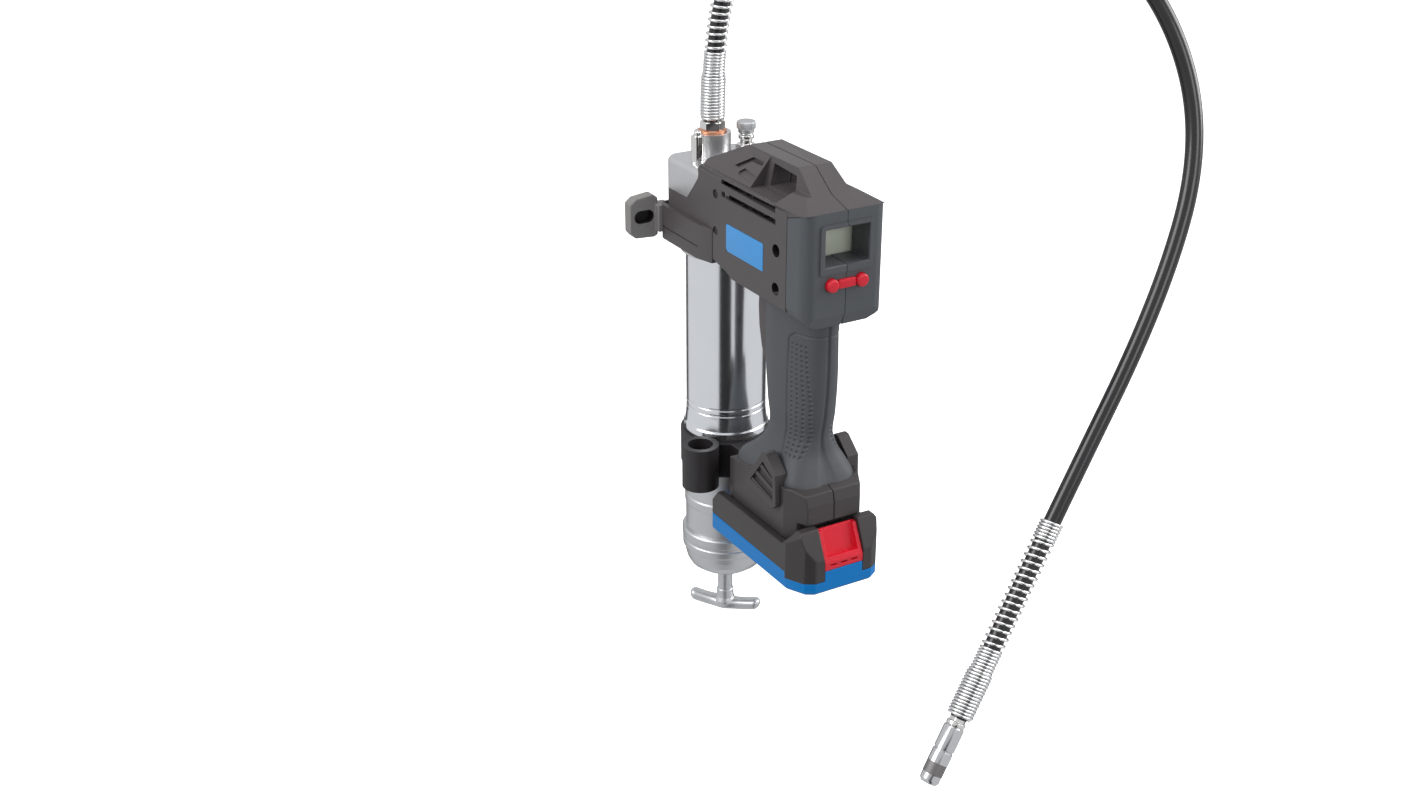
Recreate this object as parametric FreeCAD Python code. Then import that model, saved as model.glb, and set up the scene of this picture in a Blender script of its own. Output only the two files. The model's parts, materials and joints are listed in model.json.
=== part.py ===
"""Cordless grease gun: cartridge barrel, pump head, pistol-grip drive, slide-on battery and whip hose.

Millimetres, +Z up.  The origin is on the barrel's axis at the middle of the barrel.  +X points from the
barrel to the handle and the display, and Y = 0 is the parting plane of every moulded half.
Each sub-part is one solid (or a group of like solids) in parts/NODE.step.
"""
import os

import FreeCAD
import Part

from math import acos, cos, pi, radians, sin, sqrt, tan

# ---------------------------------------------------------------- driving dimensions
WALL = 2.6                    # moulded wall thickness
FIT = 0.05                    # radial clearance of a running fit
GAP = 0.3                     # clearance between parts that move past each other

# barrel and follower
BARREL_R = 28.5
BARREL_BORE = 27.0            # takes a 53.5 mm cartridge
BARREL_TOP = 104.0
BARREL_FOOT = -138.0
LOWER_R = 29.2
LIP_R = 30.2
LIP_Z = (-46.0, -40.5)
CAP_R = 31.9
CAP_RING_Z = (-140.0, -127.0)
CAP_BOTTOM = -167.0
ROD_R = 5.5
ROD_TOP = 72.0
T_HALF = 27.0                 # half length of the pull handle
T_ANGLE = 42.0                # direction of the pull handle from +X
T_LOW = -200.0
T_R = 4.6
FOLLOWER_Z = (50.0, 58.0)
SPRING_FOOT = -135.0

# pump head
HEAD_FRONT = -34.0
HEAD_HALF = 30.0
HEAD_TOP = 150.5
HEAD_SKIRT = 128.0            # where the bare casting ends and the plastic wrap begins
CORE_HALF = 27.2              # half width of the casting inside the plastic
SOCKET_R = 32.0
SOCKET_LOW = 88.0
EAR_X = (28.0, 45.0)          # the two ears that carry the pump bore and the gear plate
EAR_Z = (113.0, 146.0)
EAR_IN = 11.5
OUTLET_X = -19.5
BOSS_R = 12.6
BOSS_TOP = 165.3
VENT_AT = (-5.0, -20.0)
FILLER_AT = (-10.0, 21.0)

# housing
BODY_HALF = 30.0
BODY_LOW = 87.0
BODY_TOP = 155.0
BODY_FRONT = 13.0
HUMP_TOP = 175.0
BEZEL_X = (123.0, 145.2)
BEZEL_LOW = 80.0
DISPLAY_HALF = 16.2
DISPLAY_Z = (122.0, 146.0)
DISPLAY_X = 126.5             # the lens, deep behind the rear face
BUTTON_Y = 11.0
BUTTON_Z = 109.8
BUTTON_R = 4.3
TRIGGER_HALF = 9.0

# drive
GEAR_AXIS_Z = 131.0
GEAR_MODULE = 0.9
PINION_TEETH = 14
GEAR_TEETH = 35
CENTRES = GEAR_MODULE * (PINION_TEETH + GEAR_TEETH) / 2
MOTOR_Z = GEAR_AXIS_Z - CENTRES
MOTOR_X = (58.0, 104.5)
MOTOR_R = 17.9
CRANK_R = 4.5                 # half of the plunger's stroke
PLUNGER_R = 4.0
PLUNGER_X = 37.0

# strap lug
LUG_X = (-43.0, -34.0)
LUG_DEPTH = 7.0               # depth of the strap's socket in the lug

# foot and battery
BASE_X = (42.0, 141.0)
BASE_LOW = -79.0
BASE_HALF = 29.0
RAIL_HALF = 20.0
RAIL_TOP = -66.0
PACK_X = (36.0, 154.5)
PACK_HALF = 35.0
PACK_LOW = -105.0
PACK_SPLIT = -91.0
CORNER_X = 136.2              # the upper shell's rear corner blocks start here
CORNER_LOW = -95.5
PACK_DECK = -80.0
LATCH_HALF = 15.0
CELL_ROOM_FRONT = 41.6

# hose (0.9 m whip, 11 mm outside) and its fittings
HOSE_R = 5.5
HOSE_BORE = 2.5
HOSE_ROUTE = [
    (OUTLET_X, 0.0, 173.0), (OUTLET_X, 0.0, 232.0), (-8.0, 13.0, 292.0), (33.0, 52.0, 331.0),
    (90.0, 105.0, 344.0), (148.0, 157.0, 325.0), (199.0, 194.0, 270.0), (231.0, 203.0, 192.0),
    (249.5, 163.0, 102.0), (265.0, 80.0, -17.0), (281.0, 1.0, -132.0)]
GUARD_R = 8.6
GUARD_LENGTH = 50.0
COUPLER_R = 6.6

NODES = {}


# ---------------------------------------------------------------- shape helpers
def vec(x, y, z):
    """A point or direction."""
    return FreeCAD.Vector(x, y, z)


def box(x, y, z):
    """A block between the low and high values of each axis."""
    return Part.makeBox(x[1] - x[0], y[1] - y[0], z[1] - z[0], vec(x[0], y[0], z[0]))


def rod(radius, start, end):
    """A round bar between two points."""
    axis = end.sub(start)
    return Part.makeCylinder(radius, axis.Length, start, axis)


def post(radius, low, high, at=(0.0, 0.0)):
    """A round bar along Z."""
    return rod(radius, vec(at[0], at[1], low), vec(at[0], at[1], high))


def tube(outer, inner, low, high, at=(0.0, 0.0)):
    """A round sleeve along Z."""
    return post(outer, low, high, at).cut(post(inner, low, high, at))


def polygon_prism(points, sweep):
    """A flat outline pulled along a vector."""
    return Part.Face(Part.makePolygon(points + points[:1])).extrude(sweep)


def side_prism(outline, half):
    """An XZ outline, pulled from Y = -half to Y = +half."""
    return polygon_prism([vec(x, -half, z) for x, z in outline], vec(0, 2 * half, 0))


def plan_prism(outline, low, high):
    """An XY outline, pulled from one height to another."""
    return polygon_prism([vec(x, y, low) for x, y in outline], vec(0, 0, high - low))


def end_prism(outline, low, high):
    """A YZ outline, pulled from one X to another."""
    return polygon_prism([vec(low, y, z) for y, z in outline], vec(high - low, 0, 0))


def mirrored(half_outline):
    """An outline given on +Y, completed by its mirror image."""
    return half_outline + [(x, -y) for x, y in reversed(half_outline)]


def mirrored_section(half_outline):
    """A YZ section given on +Y, completed by its mirror image."""
    return half_outline + [(-y, z) for y, z in reversed(half_outline)]


def turned(outline):
    """An (r, z) outline turned about the barrel's axis."""
    face = Part.Face(Part.makePolygon([vec(r, 0, z) for r, z in outline + outline[:1]]))
    return face.revolve(vec(0, 0, 0), vec(0, 0, 1), 360)


def is_vertical(edge):
    """True for an edge along Z."""
    low, high = edge.BoundBox.ZMin, edge.BoundBox.ZMax
    return edge.BoundBox.XLength < 0.01 and edge.BoundBox.YLength < 0.01 and high > low


def rounded(shape, radius, chosen):
    """The shape with the chosen edges rounded."""
    edges = [edge for edge in shape.Edges if chosen(edge)]
    return shape.makeFillet(radius, edges)


def halves(shape):
    """The left (-Y) and right (+Y) halves of a moulding."""
    reach = 400.0
    left = shape.common(box((-reach, reach), (-reach, 0), (-reach, reach)))
    right = shape.common(box((-reach, reach), (0, reach), (-reach, reach)))
    return left, right


def both_sides(shape):
    """The shape and its mirror image in the parting plane."""
    return [shape, shape.mirror(vec(0, 0, 0), vec(0, 1, 0))]


def fused(first, *others):
    """One solid from touching ones, without the seams between them."""
    return first.fuse(list(others)).removeSplitter()


def add(name, *shapes):
    """Keeps a node's solids under its name."""
    solids = [solid for shape in shapes for solid in shape.Solids]
    NODES[name] = solids[0] if len(solids) == 1 else Part.makeCompound(solids)


# ---------------------------------------------------------------- barrel and follower
def make_barrel():
    """Drawn tube with a rolled grip, a lip above the clamp, and a bead near its foot."""
    outer = [
        (BARREL_R, BARREL_TOP), (BARREL_R, -24.0), (BARREL_R - 0.6, -25.0), (BARREL_R - 0.6, -27.0),
        (BARREL_R, -28.0), (BARREL_R, -30.0), (BARREL_R - 0.6, -31.0), (BARREL_R - 0.6, -33.0),
        (BARREL_R, -34.0), (BARREL_R, -38.0), (LIP_R, LIP_Z[1]), (LIP_R, LIP_Z[0]),
        (LOWER_R, LIP_Z[0] - 0.8), (LOWER_R, -99.0), (LOWER_R + 0.7, -100.5), (LOWER_R + 0.7, -105.5), (LOWER_R, -107.0),
        (LOWER_R, BARREL_FOOT)]
    inner = [(BARREL_BORE, BARREL_FOOT), (BARREL_BORE, BARREL_TOP)]
    add("barrel_tube", turned(outer + inner))


def make_end_cap():
    """Screwed foot cap: a rolled ring over the tube, then a dome that guides the rod."""
    bush_r = ROD_R + 3.0
    outline = [
        (CAP_R - 1.0, CAP_RING_Z[1]), (CAP_R, CAP_RING_Z[1] - 1.0), (CAP_R, CAP_RING_Z[0] + 1.0),
        (CAP_R - 1.0, CAP_RING_Z[0]), (30.0, -141.0), (29.6, -147.0), (28.4, -152.0), (26.0, -156.5),
        (20.0, -160.6), (11.0, -165.0), (bush_r + 0.5, CAP_BOTTOM), (bush_r, CAP_BOTTOM), (bush_r, -158.5),
        (19.0, -157.0), (25.0, -152.0), (26.5, -147.0), (26.9, BARREL_FOOT), (LOWER_R + 0.02, BARREL_FOOT),
        (LOWER_R + 0.02, CAP_RING_Z[1])]
    add("end_cap", turned(outline))
    add("rod_bush", tube(bush_r, ROD_R + FIT, CAP_BOTTOM, -158.5))


def make_follower():
    """Rod, pull handle, piston with its cup seal, and the spring's envelope."""
    handle_top = T_LOW + 17.0
    add("follower_rod", post(ROD_R, handle_top, ROD_TOP))
    sag = 4.0
    straight = T_HALF - T_R
    bend_r = (straight ** 2 + sag ** 2) / (2 * sag)
    low = T_LOW + T_R
    ends = [vec(-straight, 0, low + sag), vec(straight, 0, low + sag)]
    path = Part.Wire([Part.Arc(ends[0], vec(0, 0, low), ends[1]).toShape()])
    lean = vec(sqrt(bend_r ** 2 - straight ** 2), 0, -straight)
    section = Part.Wire([Part.makeCircle(T_R, ends[0], lean)])
    bar = path.makePipeShell([section], True, True)
    tips = [Part.makeSphere(T_R, point) for point in ends]
    hub_low = T_LOW + 2.0
    hub = turned([(0, hub_low), (T_R, hub_low), (7.2, T_LOW + 9.0), (6.4, handle_top), (0, handle_top)])
    handle = fused(bar, *tips).fuse(hub)
    handle.rotate(vec(0, 0, 0), vec(0, 0, 1), T_ANGLE)
    add("t_handle", handle)
    clear = ROD_R + 0.4
    add("follower_piston", tube(26.5, clear, *FOLLOWER_Z))
    cup_low = FOLLOWER_Z[1]
    cup = turned([(clear, cup_low), (22.0, cup_low), (26.6, cup_low + 1.0), (26.7, cup_low + 8.0),
                  (25.4, cup_low + 8.0), (24.0, cup_low + 3.0), (clear, cup_low + 3.0)])
    add("follower_cup", cup)
    add("follower_spring", tube(24.6, 22.4, SPRING_FOOT, FOLLOWER_Z[0]))


# ---------------------------------------------------------------- pump head
def head_solid():
    """The casting before its passages: bare top, core in the plastic, ears and barrel socket."""
    outline = [(HEAD_FRONT, HEAD_SKIRT), (-1.5, HEAD_SKIRT), (BODY_FRONT, 146.0), (BODY_FRONT, HEAD_TOP),
               (HEAD_FRONT, HEAD_TOP)]
    bare = side_prism(outline, HEAD_HALF)
    bare = rounded(bare, 8.0, lambda edge: is_vertical(edge) and edge.BoundBox.XMin < HEAD_FRONT + 0.1)
    top = HEAD_TOP - 0.01

    def top_rim(edge):
        return edge.BoundBox.ZMin > top and edge.BoundBox.XMin < BODY_FRONT - 0.1

    bare = rounded(bare, 4.5, top_rim)
    core_front = HEAD_FRONT + WALL + 0.1
    core = box((core_front, EAR_X[0]), (-CORE_HALF, CORE_HALF), (EAR_Z[0], HEAD_TOP - 1.0))
    core = rounded(core, 6.0, lambda edge: is_vertical(edge) and edge.BoundBox.XMin < core_front + 0.1)
    socket = post(SOCKET_R, SOCKET_LOW, EAR_Z[0])
    ear = box((EAR_X[0] - 1.0, EAR_X[1]), (EAR_IN, CORE_HALF), EAR_Z)
    boss = rod(BOSS_R, vec(OUTLET_X, 0, HEAD_TOP - 3.0), vec(OUTLET_X, 0, BOSS_TOP))
    return fused(bare, core, socket, boss, *both_sides(ear))


def make_pump_head():
    """Cast head with its barrel socket, pump bore, inlet and outlet passages."""
    head = head_solid()
    axis_z = GEAR_AXIS_Z
    passage_y = 23.0
    inlet = (12.0, 16.0)
    voids = [
        post(BARREL_R + 0.02, SOCKET_LOW, BARREL_TOP + 0.5),
        rod(PLUNGER_R + FIT, vec(PLUNGER_X, EAR_IN, axis_z), vec(PLUNGER_X, 25.5, axis_z)),
        rod(2.0, vec(PLUNGER_X, passage_y, axis_z), vec(OUTLET_X, passage_y, axis_z)),
        rod(2.0, vec(OUTLET_X, passage_y, axis_z), vec(OUTLET_X, 0, axis_z)),
        post(3.9, axis_z, HEAD_TOP, (OUTLET_X, 0)),
        post(5.1, HEAD_TOP, BOSS_TOP, (OUTLET_X, 0)),
        post(2.5, BARREL_TOP, axis_z, inlet),
        rod(2.5, vec(inlet[0], inlet[1], axis_z), vec(PLUNGER_X, inlet[1], axis_z)),
        post(2.65, HEAD_TOP - 12.0, HEAD_TOP, VENT_AT),
        post(4.0, HEAD_TOP - 9.0, HEAD_TOP, FILLER_AT)]
    for x, z in SHORT_SCREWS:
        voids += both_sides(rod(1.6, vec(x, -CORE_HALF, z), vec(x, -CORE_HALF + 11.0, z)))
    for void in voids:
        head = head.cut(void)
    add("pump_head", head)
    add("outlet_check_ball", Part.makeSphere(3.5, vec(OUTLET_X, 0, axis_z + 7.0)))


def make_head_fittings():
    """Outlet washer and hose fitting, vent valve, and filler coupling with its cap."""
    at = (OUTLET_X, 0.0)
    washer_top = BOSS_TOP + 1.6
    fitting_top = HOSE_ROUTE[0][2]
    add("outlet_washer", tube(9.8, 5.2, BOSS_TOP, washer_top, at))
    flats = 15.0
    corner = flats / 2 / cos(pi / 6)
    hexagon = [(OUTLET_X + corner * cos(radians(60 * i + 30)), corner * sin(radians(60 * i + 30)))
               for i in range(6)]
    fitting = fused(plan_prism(hexagon, washer_top, fitting_top), post(5.0, HEAD_TOP + 2.0, washer_top, at))
    add("hose_fitting", fitting.cut(post(HOSE_BORE, HEAD_TOP + 2.0, fitting_top, at)))

    vent_top = HEAD_TOP + 18.0
    vent = fused(post(4.3, HEAD_TOP, vent_top, VENT_AT), post(2.6, HEAD_TOP - 6.0, HEAD_TOP, VENT_AT))
    pocket_low = vent_top - 9.0
    vent = vent.cut(post(2.6, pocket_low, vent_top, VENT_AT))
    vent = vent.cut(post(1.0, HEAD_TOP - 6.0, pocket_low, VENT_AT))
    vent = vent.cut(rod(1.1, vec(VENT_AT[0] - 6, VENT_AT[1], HEAD_TOP + 3.0),
                        vec(VENT_AT[0] + 6, VENT_AT[1], HEAD_TOP + 3.0)))
    add("vent_valve_body", vent)
    plunger = post(2.6 - FIT, pocket_low + 3.0, vent_top + 3.4, VENT_AT)
    add("vent_valve_plunger", rounded(plunger, 0.8, lambda edge: edge.BoundBox.ZMin > vent_top + 3.0))

    base_top = HEAD_TOP + 5.5
    neck_top = HEAD_TOP + 16.0
    hex_r = 7.2
    hexagon = [(FILLER_AT[0] + hex_r * cos(pi / 3 * i), FILLER_AT[1] + hex_r * sin(pi / 3 * i))
               for i in range(6)]
    coupling = fused(plan_prism(hexagon, HEAD_TOP, base_top), post(4.2, base_top, neck_top, FILLER_AT),
                     post(5.4, base_top + 4.0, base_top + 6.0, FILLER_AT),
                     post(4.0, HEAD_TOP - 8.0, HEAD_TOP, FILLER_AT))
    add("filler_coupling", coupling.cut(post(1.6, HEAD_TOP - 8.0, neck_top, FILLER_AT)))
    cap_top = HEAD_TOP + 21.5
    cap = fused(post(6.7, neck_top, cap_top, FILLER_AT), post(5.6, neck_top - 2.5, neck_top, FILLER_AT))
    cap = cap.cut(post(4.22, neck_top - 2.5, neck_top, FILLER_AT))
    cap = rounded(cap, 1.0, lambda edge: edge.BoundBox.ZMin > cap_top - 0.1)
    add("filler_cap", cap)


# ---------------------------------------------------------------- drive train
def gear_face(teeth, x, centre_z, turn, addendum):
    """An involute spur gear's outline in the plane X = x; turn is the first tooth's angle."""
    backlash = 0.16
    pressure = radians(20)
    pitch_r = GEAR_MODULE * teeth / 2
    base_r = pitch_r * cos(pressure)
    tip_r = pitch_r + addendum * GEAR_MODULE
    root_r = pitch_r - 1.25 * GEAR_MODULE
    half_pitch = pi / (2 * teeth) - backlash / (2 * pitch_r) + tan(pressure) - pressure
    steps = 4
    start_r = max(base_r, root_r)
    flank = []
    for i in range(steps + 1):
        radius = start_r + (tip_r - start_r) * i / steps
        slope = acos(min(1.0, base_r / radius))
        flank.append((radius, half_pitch - tan(slope) + slope))
    flank.insert(0, (root_r, flank[0][1]))
    points = []
    for tooth in range(teeth):
        middle = radians(turn) + 2 * pi * tooth / teeth
        rising = [(radius, middle - half) for radius, half in flank]
        falling = [(radius, middle + half) for radius, half in reversed(flank)]
        points += [vec(x, r * cos(a), centre_z + r * sin(a)) for r, a in rising + falling]
    return Part.Face(Part.makePolygon(points + points[:1]))


def make_drive():
    """Motor, rotor with pinion, crank gear on its bearing plate, yoke and plunger."""
    gear_x = (50.0, 56.0)
    plate_x = (45.0, 48.5)
    thickness = gear_x[1] - gear_x[0]
    pinion = gear_face(PINION_TEETH, gear_x[0], MOTOR_Z, 90.0, 0.8).extrude(vec(thickness, 0, 0))
    shaft_r = 1.6
    pinion = pinion.cut(rod(shaft_r, vec(gear_x[0], 0, MOTOR_Z), vec(gear_x[1], 0, MOTOR_Z)))
    add("motor_pinion", pinion)

    def along_x(radius, low, high, z=MOTOR_Z, y=0.0):
        return rod(radius, vec(low, y, z), vec(high, y, z))

    front, rear = MOTOR_X
    bush_r = 4.0
    can = along_x(MOTOR_R, front, rear).cut(along_x(MOTOR_R - 1.4, front + 2.0, rear - 2.0))
    can = can.cut(along_x(bush_r, front, rear))
    add("motor_can", can)
    bushes = [along_x(bush_r, low, low + 2.0).cut(along_x(shaft_r + FIT, low, low + 2.0))
              for low in (front, rear - 2.0)]
    add("motor_bushes", *bushes)
    magnets = along_x(MOTOR_R - 1.4, front + 8.0, rear - 12.0).cut(along_x(13.2, front, rear))
    flats = box((front, rear), (-7.0, 7.0), (MOTOR_Z - 30, MOTOR_Z + 30))
    add("motor_magnets", magnets.cut(flats))
    rotor = fused(along_x(shaft_r, gear_x[0], rear + 1.0), along_x(12.4, front + 8.0, rear - 12.0),
                  along_x(5.0, rear - 10.0, rear - 4.0))
    add("motor_rotor", rotor)

    gap_turn = -90.0 + 180.0 / GEAR_TEETH
    gear = gear_face(GEAR_TEETH, gear_x[0], GEAR_AXIS_Z, gap_turn, 0.8).extrude(vec(thickness, 0, 0))
    crank_x = (41.5, 44.5)
    pin_z = GEAR_AXIS_Z + CRANK_R
    shaft = along_x(4.0, crank_x[0], gear_x[1], GEAR_AXIS_Z)
    disc = along_x(9.0, crank_x[0], crank_x[1], GEAR_AXIS_Z)
    pin = along_x(2.5, crank_x[0] - 1.2, crank_x[0], pin_z)
    add("crank_gear", fused(gear, shaft, disc, pin))
    bearing = along_x(7.5, plate_x[0], plate_x[1], GEAR_AXIS_Z)
    plate = end_prism(mirrored_section([(CORE_HALF, EAR_Z[0]), (CORE_HALF, EAR_Z[1])]), *plate_x)
    window = along_x(4.5, plate_x[0], plate_x[1], MOTOR_Z)
    add("gear_plate", plate.cut(bearing).cut(window))
    add("gear_bearing", bearing.cut(along_x(4.0 + FIT, plate_x[0], plate_x[1], GEAR_AXIS_Z)))

    yoke_x = (34.0, 39.8)
    yoke_half = 6.5
    yoke = box(yoke_x, (-yoke_half, yoke_half), (GEAR_AXIS_Z - 11.0, GEAR_AXIS_Z + 11.0))
    slot = box(yoke_x, (-2.7, 2.7), (GEAR_AXIS_Z - 7.5, GEAR_AXIS_Z + 7.5))
    add("pump_yoke", yoke.cut(slot))
    ends = [vec(PLUNGER_X, y, GEAR_AXIS_Z) for y in (yoke_half, yoke_half + 6.0, 20.5)]
    neck = rod(PLUNGER_R - 1.4, ends[0], ends[1])
    add("pump_plunger", fused(neck, rod(PLUNGER_R, ends[1], ends[2])))


# ---------------------------------------------------------------- housing
SHORT_SCREWS = [(36.0, 141.0), (36.0, 115.7)]     # X, Z of the screws into the pump head's ears
LONG_SCREWS = [(111.0, 125.0), (111.0, 99.5)]     # X, Z of the screws that close the shells
VENT_SLOTS_Z = (151.3, 143.1)                     # middle heights of the long cooling slots


def roof_solid():
    """The raised back of the housing: front slope, hanging hump and rear slope."""
    low = HEAD_TOP - 0.1
    front = side_prism([(BODY_FRONT, low), (BODY_FRONT + 2, 158.8), (49.0, HUMP_TOP), (76.0, HUMP_TOP),
                        (73.0, low)], BODY_HALF)
    front = front.common(end_prism(mirrored_section([(28.0, low), (26.0, 155.5), (12.0, HUMP_TOP)]), 0, 80))
    hump = side_prism([(40.0, low), (49.0, HUMP_TOP), (108.0, HUMP_TOP), (127.0, 161.7), (141.0, 156.0),
                       (141.0, low)], BODY_HALF)
    hump = hump.common(end_prism(mirrored_section([(15.0, low), (15.0, 157.0), (12.4, HUMP_TOP)]), 0, 160))
    slope = [(106.0, low), (123.0, 149.8), (144.6, 156.2), (127.0, 161.7), (112.0, 161.7)]
    rear = side_prism(slope, BODY_HALF)
    rear = rear.common(end_prism(mirrored_section([(29.8, 140.0), (29.8, 155.2), (19.5, 161.7)]), 0, 160))
    roof = fused(front, hump, rear)
    return roof


def body_solid():
    """The housing's outside: the wrap round the pump head, the motor body and the roof."""
    outline = [(HEAD_FRONT, EAR_Z[0] + 0.2), (HEAD_FRONT, HEAD_SKIRT), (-1.5, HEAD_SKIRT), (BODY_FRONT, 146.0),
               (BODY_FRONT, BODY_TOP), (BEZEL_X[0], BODY_TOP), (BEZEL_X[0], BODY_LOW), (57.0, BODY_LOW),
               (45.0, 91.0), (SOCKET_R + 0.4, 93.0), (SOCKET_R + 0.4, EAR_Z[0] + 0.2)]
    body = side_prism(outline, BODY_HALF)
    body = rounded(body, 8.0, lambda edge: is_vertical(edge) and edge.BoundBox.XMax < HEAD_FRONT + 0.1)

    def shoulder(edge):
        bounds = edge.BoundBox
        return bounds.ZMin > BODY_TOP - 0.01 and bounds.XLength > 20 and bounds.YLength < 0.01

    body = rounded(body, 3.5, shoulder)

    def belly(edge):
        bounds = edge.BoundBox
        return (bounds.ZMax < 93.1 and bounds.YLength < 0.01 and abs(bounds.YMin) > BODY_HALF - 0.1
                and bounds.XMin > SOCKET_R)

    return rounded(body, 3.0, belly)


def window_void():
    """The eye through the hump, for a hook."""
    return side_prism([(79.5, 156.4), (81.0, 170.4), (107.0, 170.4), (109.0, 156.4)], BODY_HALF)


def body_void():
    """The hollow of the motor body."""
    inside = BODY_HALF - WALL
    hollow = box((EAR_X[0] + 4.8, BEZEL_X[0]), (-inside, inside), (BODY_LOW + WALL, BODY_TOP - WALL))
    hollow = hollow.cut(box((EAR_X[0], 52.0), (-inside, inside), (BODY_LOW, 94.5)))
    wrap = box((HEAD_FRONT + WALL, EAR_X[0] + 5.0), (-CORE_HALF, CORE_HALF), (EAR_Z[0], HEAD_TOP - 1.0))
    return fused(hollow, wrap)


def screw_bosses():
    """Tubes across the body that the long screws pull together."""
    return [rod(5.2, vec(x, -BODY_HALF + 1.0, z), vec(x, BODY_HALF - 1.0, z)) for x, z in LONG_SCREWS]


def screw_voids():
    """Counterbores, clearance holes and pilot holes for all the body screws."""
    voids = []
    for x, z in LONG_SCREWS:
        voids.append(rod(4.2, vec(x, -BODY_HALF - 1, z), vec(x, -18.0, z)))
        voids.append(rod(1.85, vec(x, -18.0, z), vec(x, 14.0, z)))
    for x, z in SHORT_SCREWS:
        voids += both_sides(rod(3.1, vec(x, -BODY_HALF - 1, z), vec(x, -BODY_HALF + 1.6, z)))
        voids += both_sides(rod(1.7, vec(x, -BODY_HALF, z), vec(x, -CORE_HALF, z)))
    return voids


def make_body():
    """Left and right shells of the motor body, with their screws and badges."""
    shell = fused(body_solid(), roof_solid())
    shell = shell.cut(body_void()).cut(window_void())
    shell = fused(shell, *screw_bosses())
    for z in VENT_SLOTS_Z:
        slot = box((43.5, 109.5), (-BODY_HALF - 1, -BODY_HALF + WALL + 1), (z - 1.7, z + 1.7))
        for side in both_sides(slot):
            shell = shell.cut(side)
    badge = box((50.0, 96.0), (-BODY_HALF - 0.1, -BODY_HALF + 0.8), (106.0, 125.0))
    for void in screw_voids() + both_sides(badge) + [head_solid()]:
        shell = shell.cut(void)
    left, right = halves(shell)
    add("housing_left", left)
    add("housing_right", right)
    plate = box((50.1, 95.9), (-BODY_HALF - 0.2, -BODY_HALF + 0.8), (106.1, 124.9))
    plate = rounded(plate, 2.5, lambda edge: edge.BoundBox.YLength > 0.5 and edge.BoundBox.XLength < 0.01
                    and edge.BoundBox.ZMax < 107)
    add("side_badges", *both_sides(plate))

    screws = []
    for x, z in LONG_SCREWS:
        head, shank = vec(x, -21.5, z), vec(x, -18.0, z)
        screws.append(fused(rod(3.6, head, shank), rod(1.8, shank, vec(x, 14.0, z))))
    for x, z in SHORT_SCREWS:
        head = rod(2.6, vec(x, -BODY_HALF + 0.6, z), vec(x, -BODY_HALF + 1.6, z))
        shank = rod(1.6, vec(x, -BODY_HALF + 1.6, z), vec(x, -CORE_HALF + 10.5, z))
        screws += both_sides(fused(head, shank))
    add("housing_screws", *screws)


def bezel_solid():
    """The rear face's outside."""
    front, face = BEZEL_X
    outline = [(front, BODY_LOW - 0.4), (front, 149.7), (face, 156.5), (face, 89.0), (141.4, BEZEL_LOW)]
    bezel = side_prism(outline, BODY_HALF)
    bezel = rounded(bezel, 8.5, lambda edge: is_vertical(edge) and edge.BoundBox.XMin > face - 0.1)
    corners = [(17.0, BEZEL_LOW - 1), (24.0, 82.5), (28.4, 87.2), (BODY_HALF + 1, 94.0), (BODY_HALF + 1, 160.0)]
    return bezel.common(end_prism(mirrored_section(corners), front - 1, face + 1))


def make_bezel():
    """Rear shells with the display tunnel and the button holes."""
    front, face = BEZEL_X
    inside = BODY_HALF - WALL
    lens_x = DISPLAY_X
    shell = bezel_solid().cut(box((front, face - WALL), (-inside, inside), (BODY_LOW + WALL, 148.0)))
    rim_half = DISPLAY_HALF + 2.0
    collar = box((lens_x, face), (-rim_half, rim_half), (DISPLAY_Z[0] - 2.0, DISPLAY_Z[1] + 2.0))
    rim = box((face - 1.0, face + 1.0), (-19.7, 19.7), (117.0, 149.0))
    rim = rounded(rim, 2.0, lambda edge: edge.BoundBox.XLength > 1.0)
    opening = box((lens_x - 1, face + 2), (-DISPLAY_HALF, DISPLAY_HALF), DISPLAY_Z)
    shell = fused(shell, collar, rim).cut(opening)
    for y in (-BUTTON_Y, BUTTON_Y):
        shell = shell.cut(rod(BUTTON_R + GAP, vec(front, y, BUTTON_Z), vec(face + 1, y, BUTTON_Z)))
    shell = shell.cut(body_solid()).cut(roof_solid())
    left, right = halves(shell)
    add("bezel_left", left)
    add("bezel_right", right)

    for name, y in (("button_left", -BUTTON_Y), ("button_right", BUTTON_Y)):
        cap = rod(BUTTON_R, vec(139.0, y, BUTTON_Z), vec(face + 3.6, y, BUTTON_Z))
        cap = rounded(cap, 1.0, lambda edge: edge.BoundBox.XMin > face + 3.5)
        flange = rod(BUTTON_R + 1.6, vec(139.0, y, BUTTON_Z), vec(140.4, y, BUTTON_Z))
        add(name, fused(cap, flange))
    bridge = box((face, face + 2.4), (-BUTTON_Y + BUTTON_R + GAP, BUTTON_Y - BUTTON_R - GAP),
                 (BUTTON_Z - 2.9, BUTTON_Z + 2.9))
    add("button_bridge", bridge)

    add("display_window", box((lens_x - 1.4, lens_x), (-DISPLAY_HALF - 1.8, DISPLAY_HALF + 1.8),
                              (DISPLAY_Z[0] - 1.8, DISPLAY_Z[1] + 1.5)))
    add("display_module", box((lens_x - 6.0, lens_x - 1.4), (-DISPLAY_HALF - 1.8, DISPLAY_HALF + 1.8),
                              (DISPLAY_Z[0] - 1.8, DISPLAY_Z[1] + 1.5)))
    add("control_board", box((lens_x - 7.6, lens_x - 6.0), (-23.0, 23.0), (98.0, 146.0)))


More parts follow.
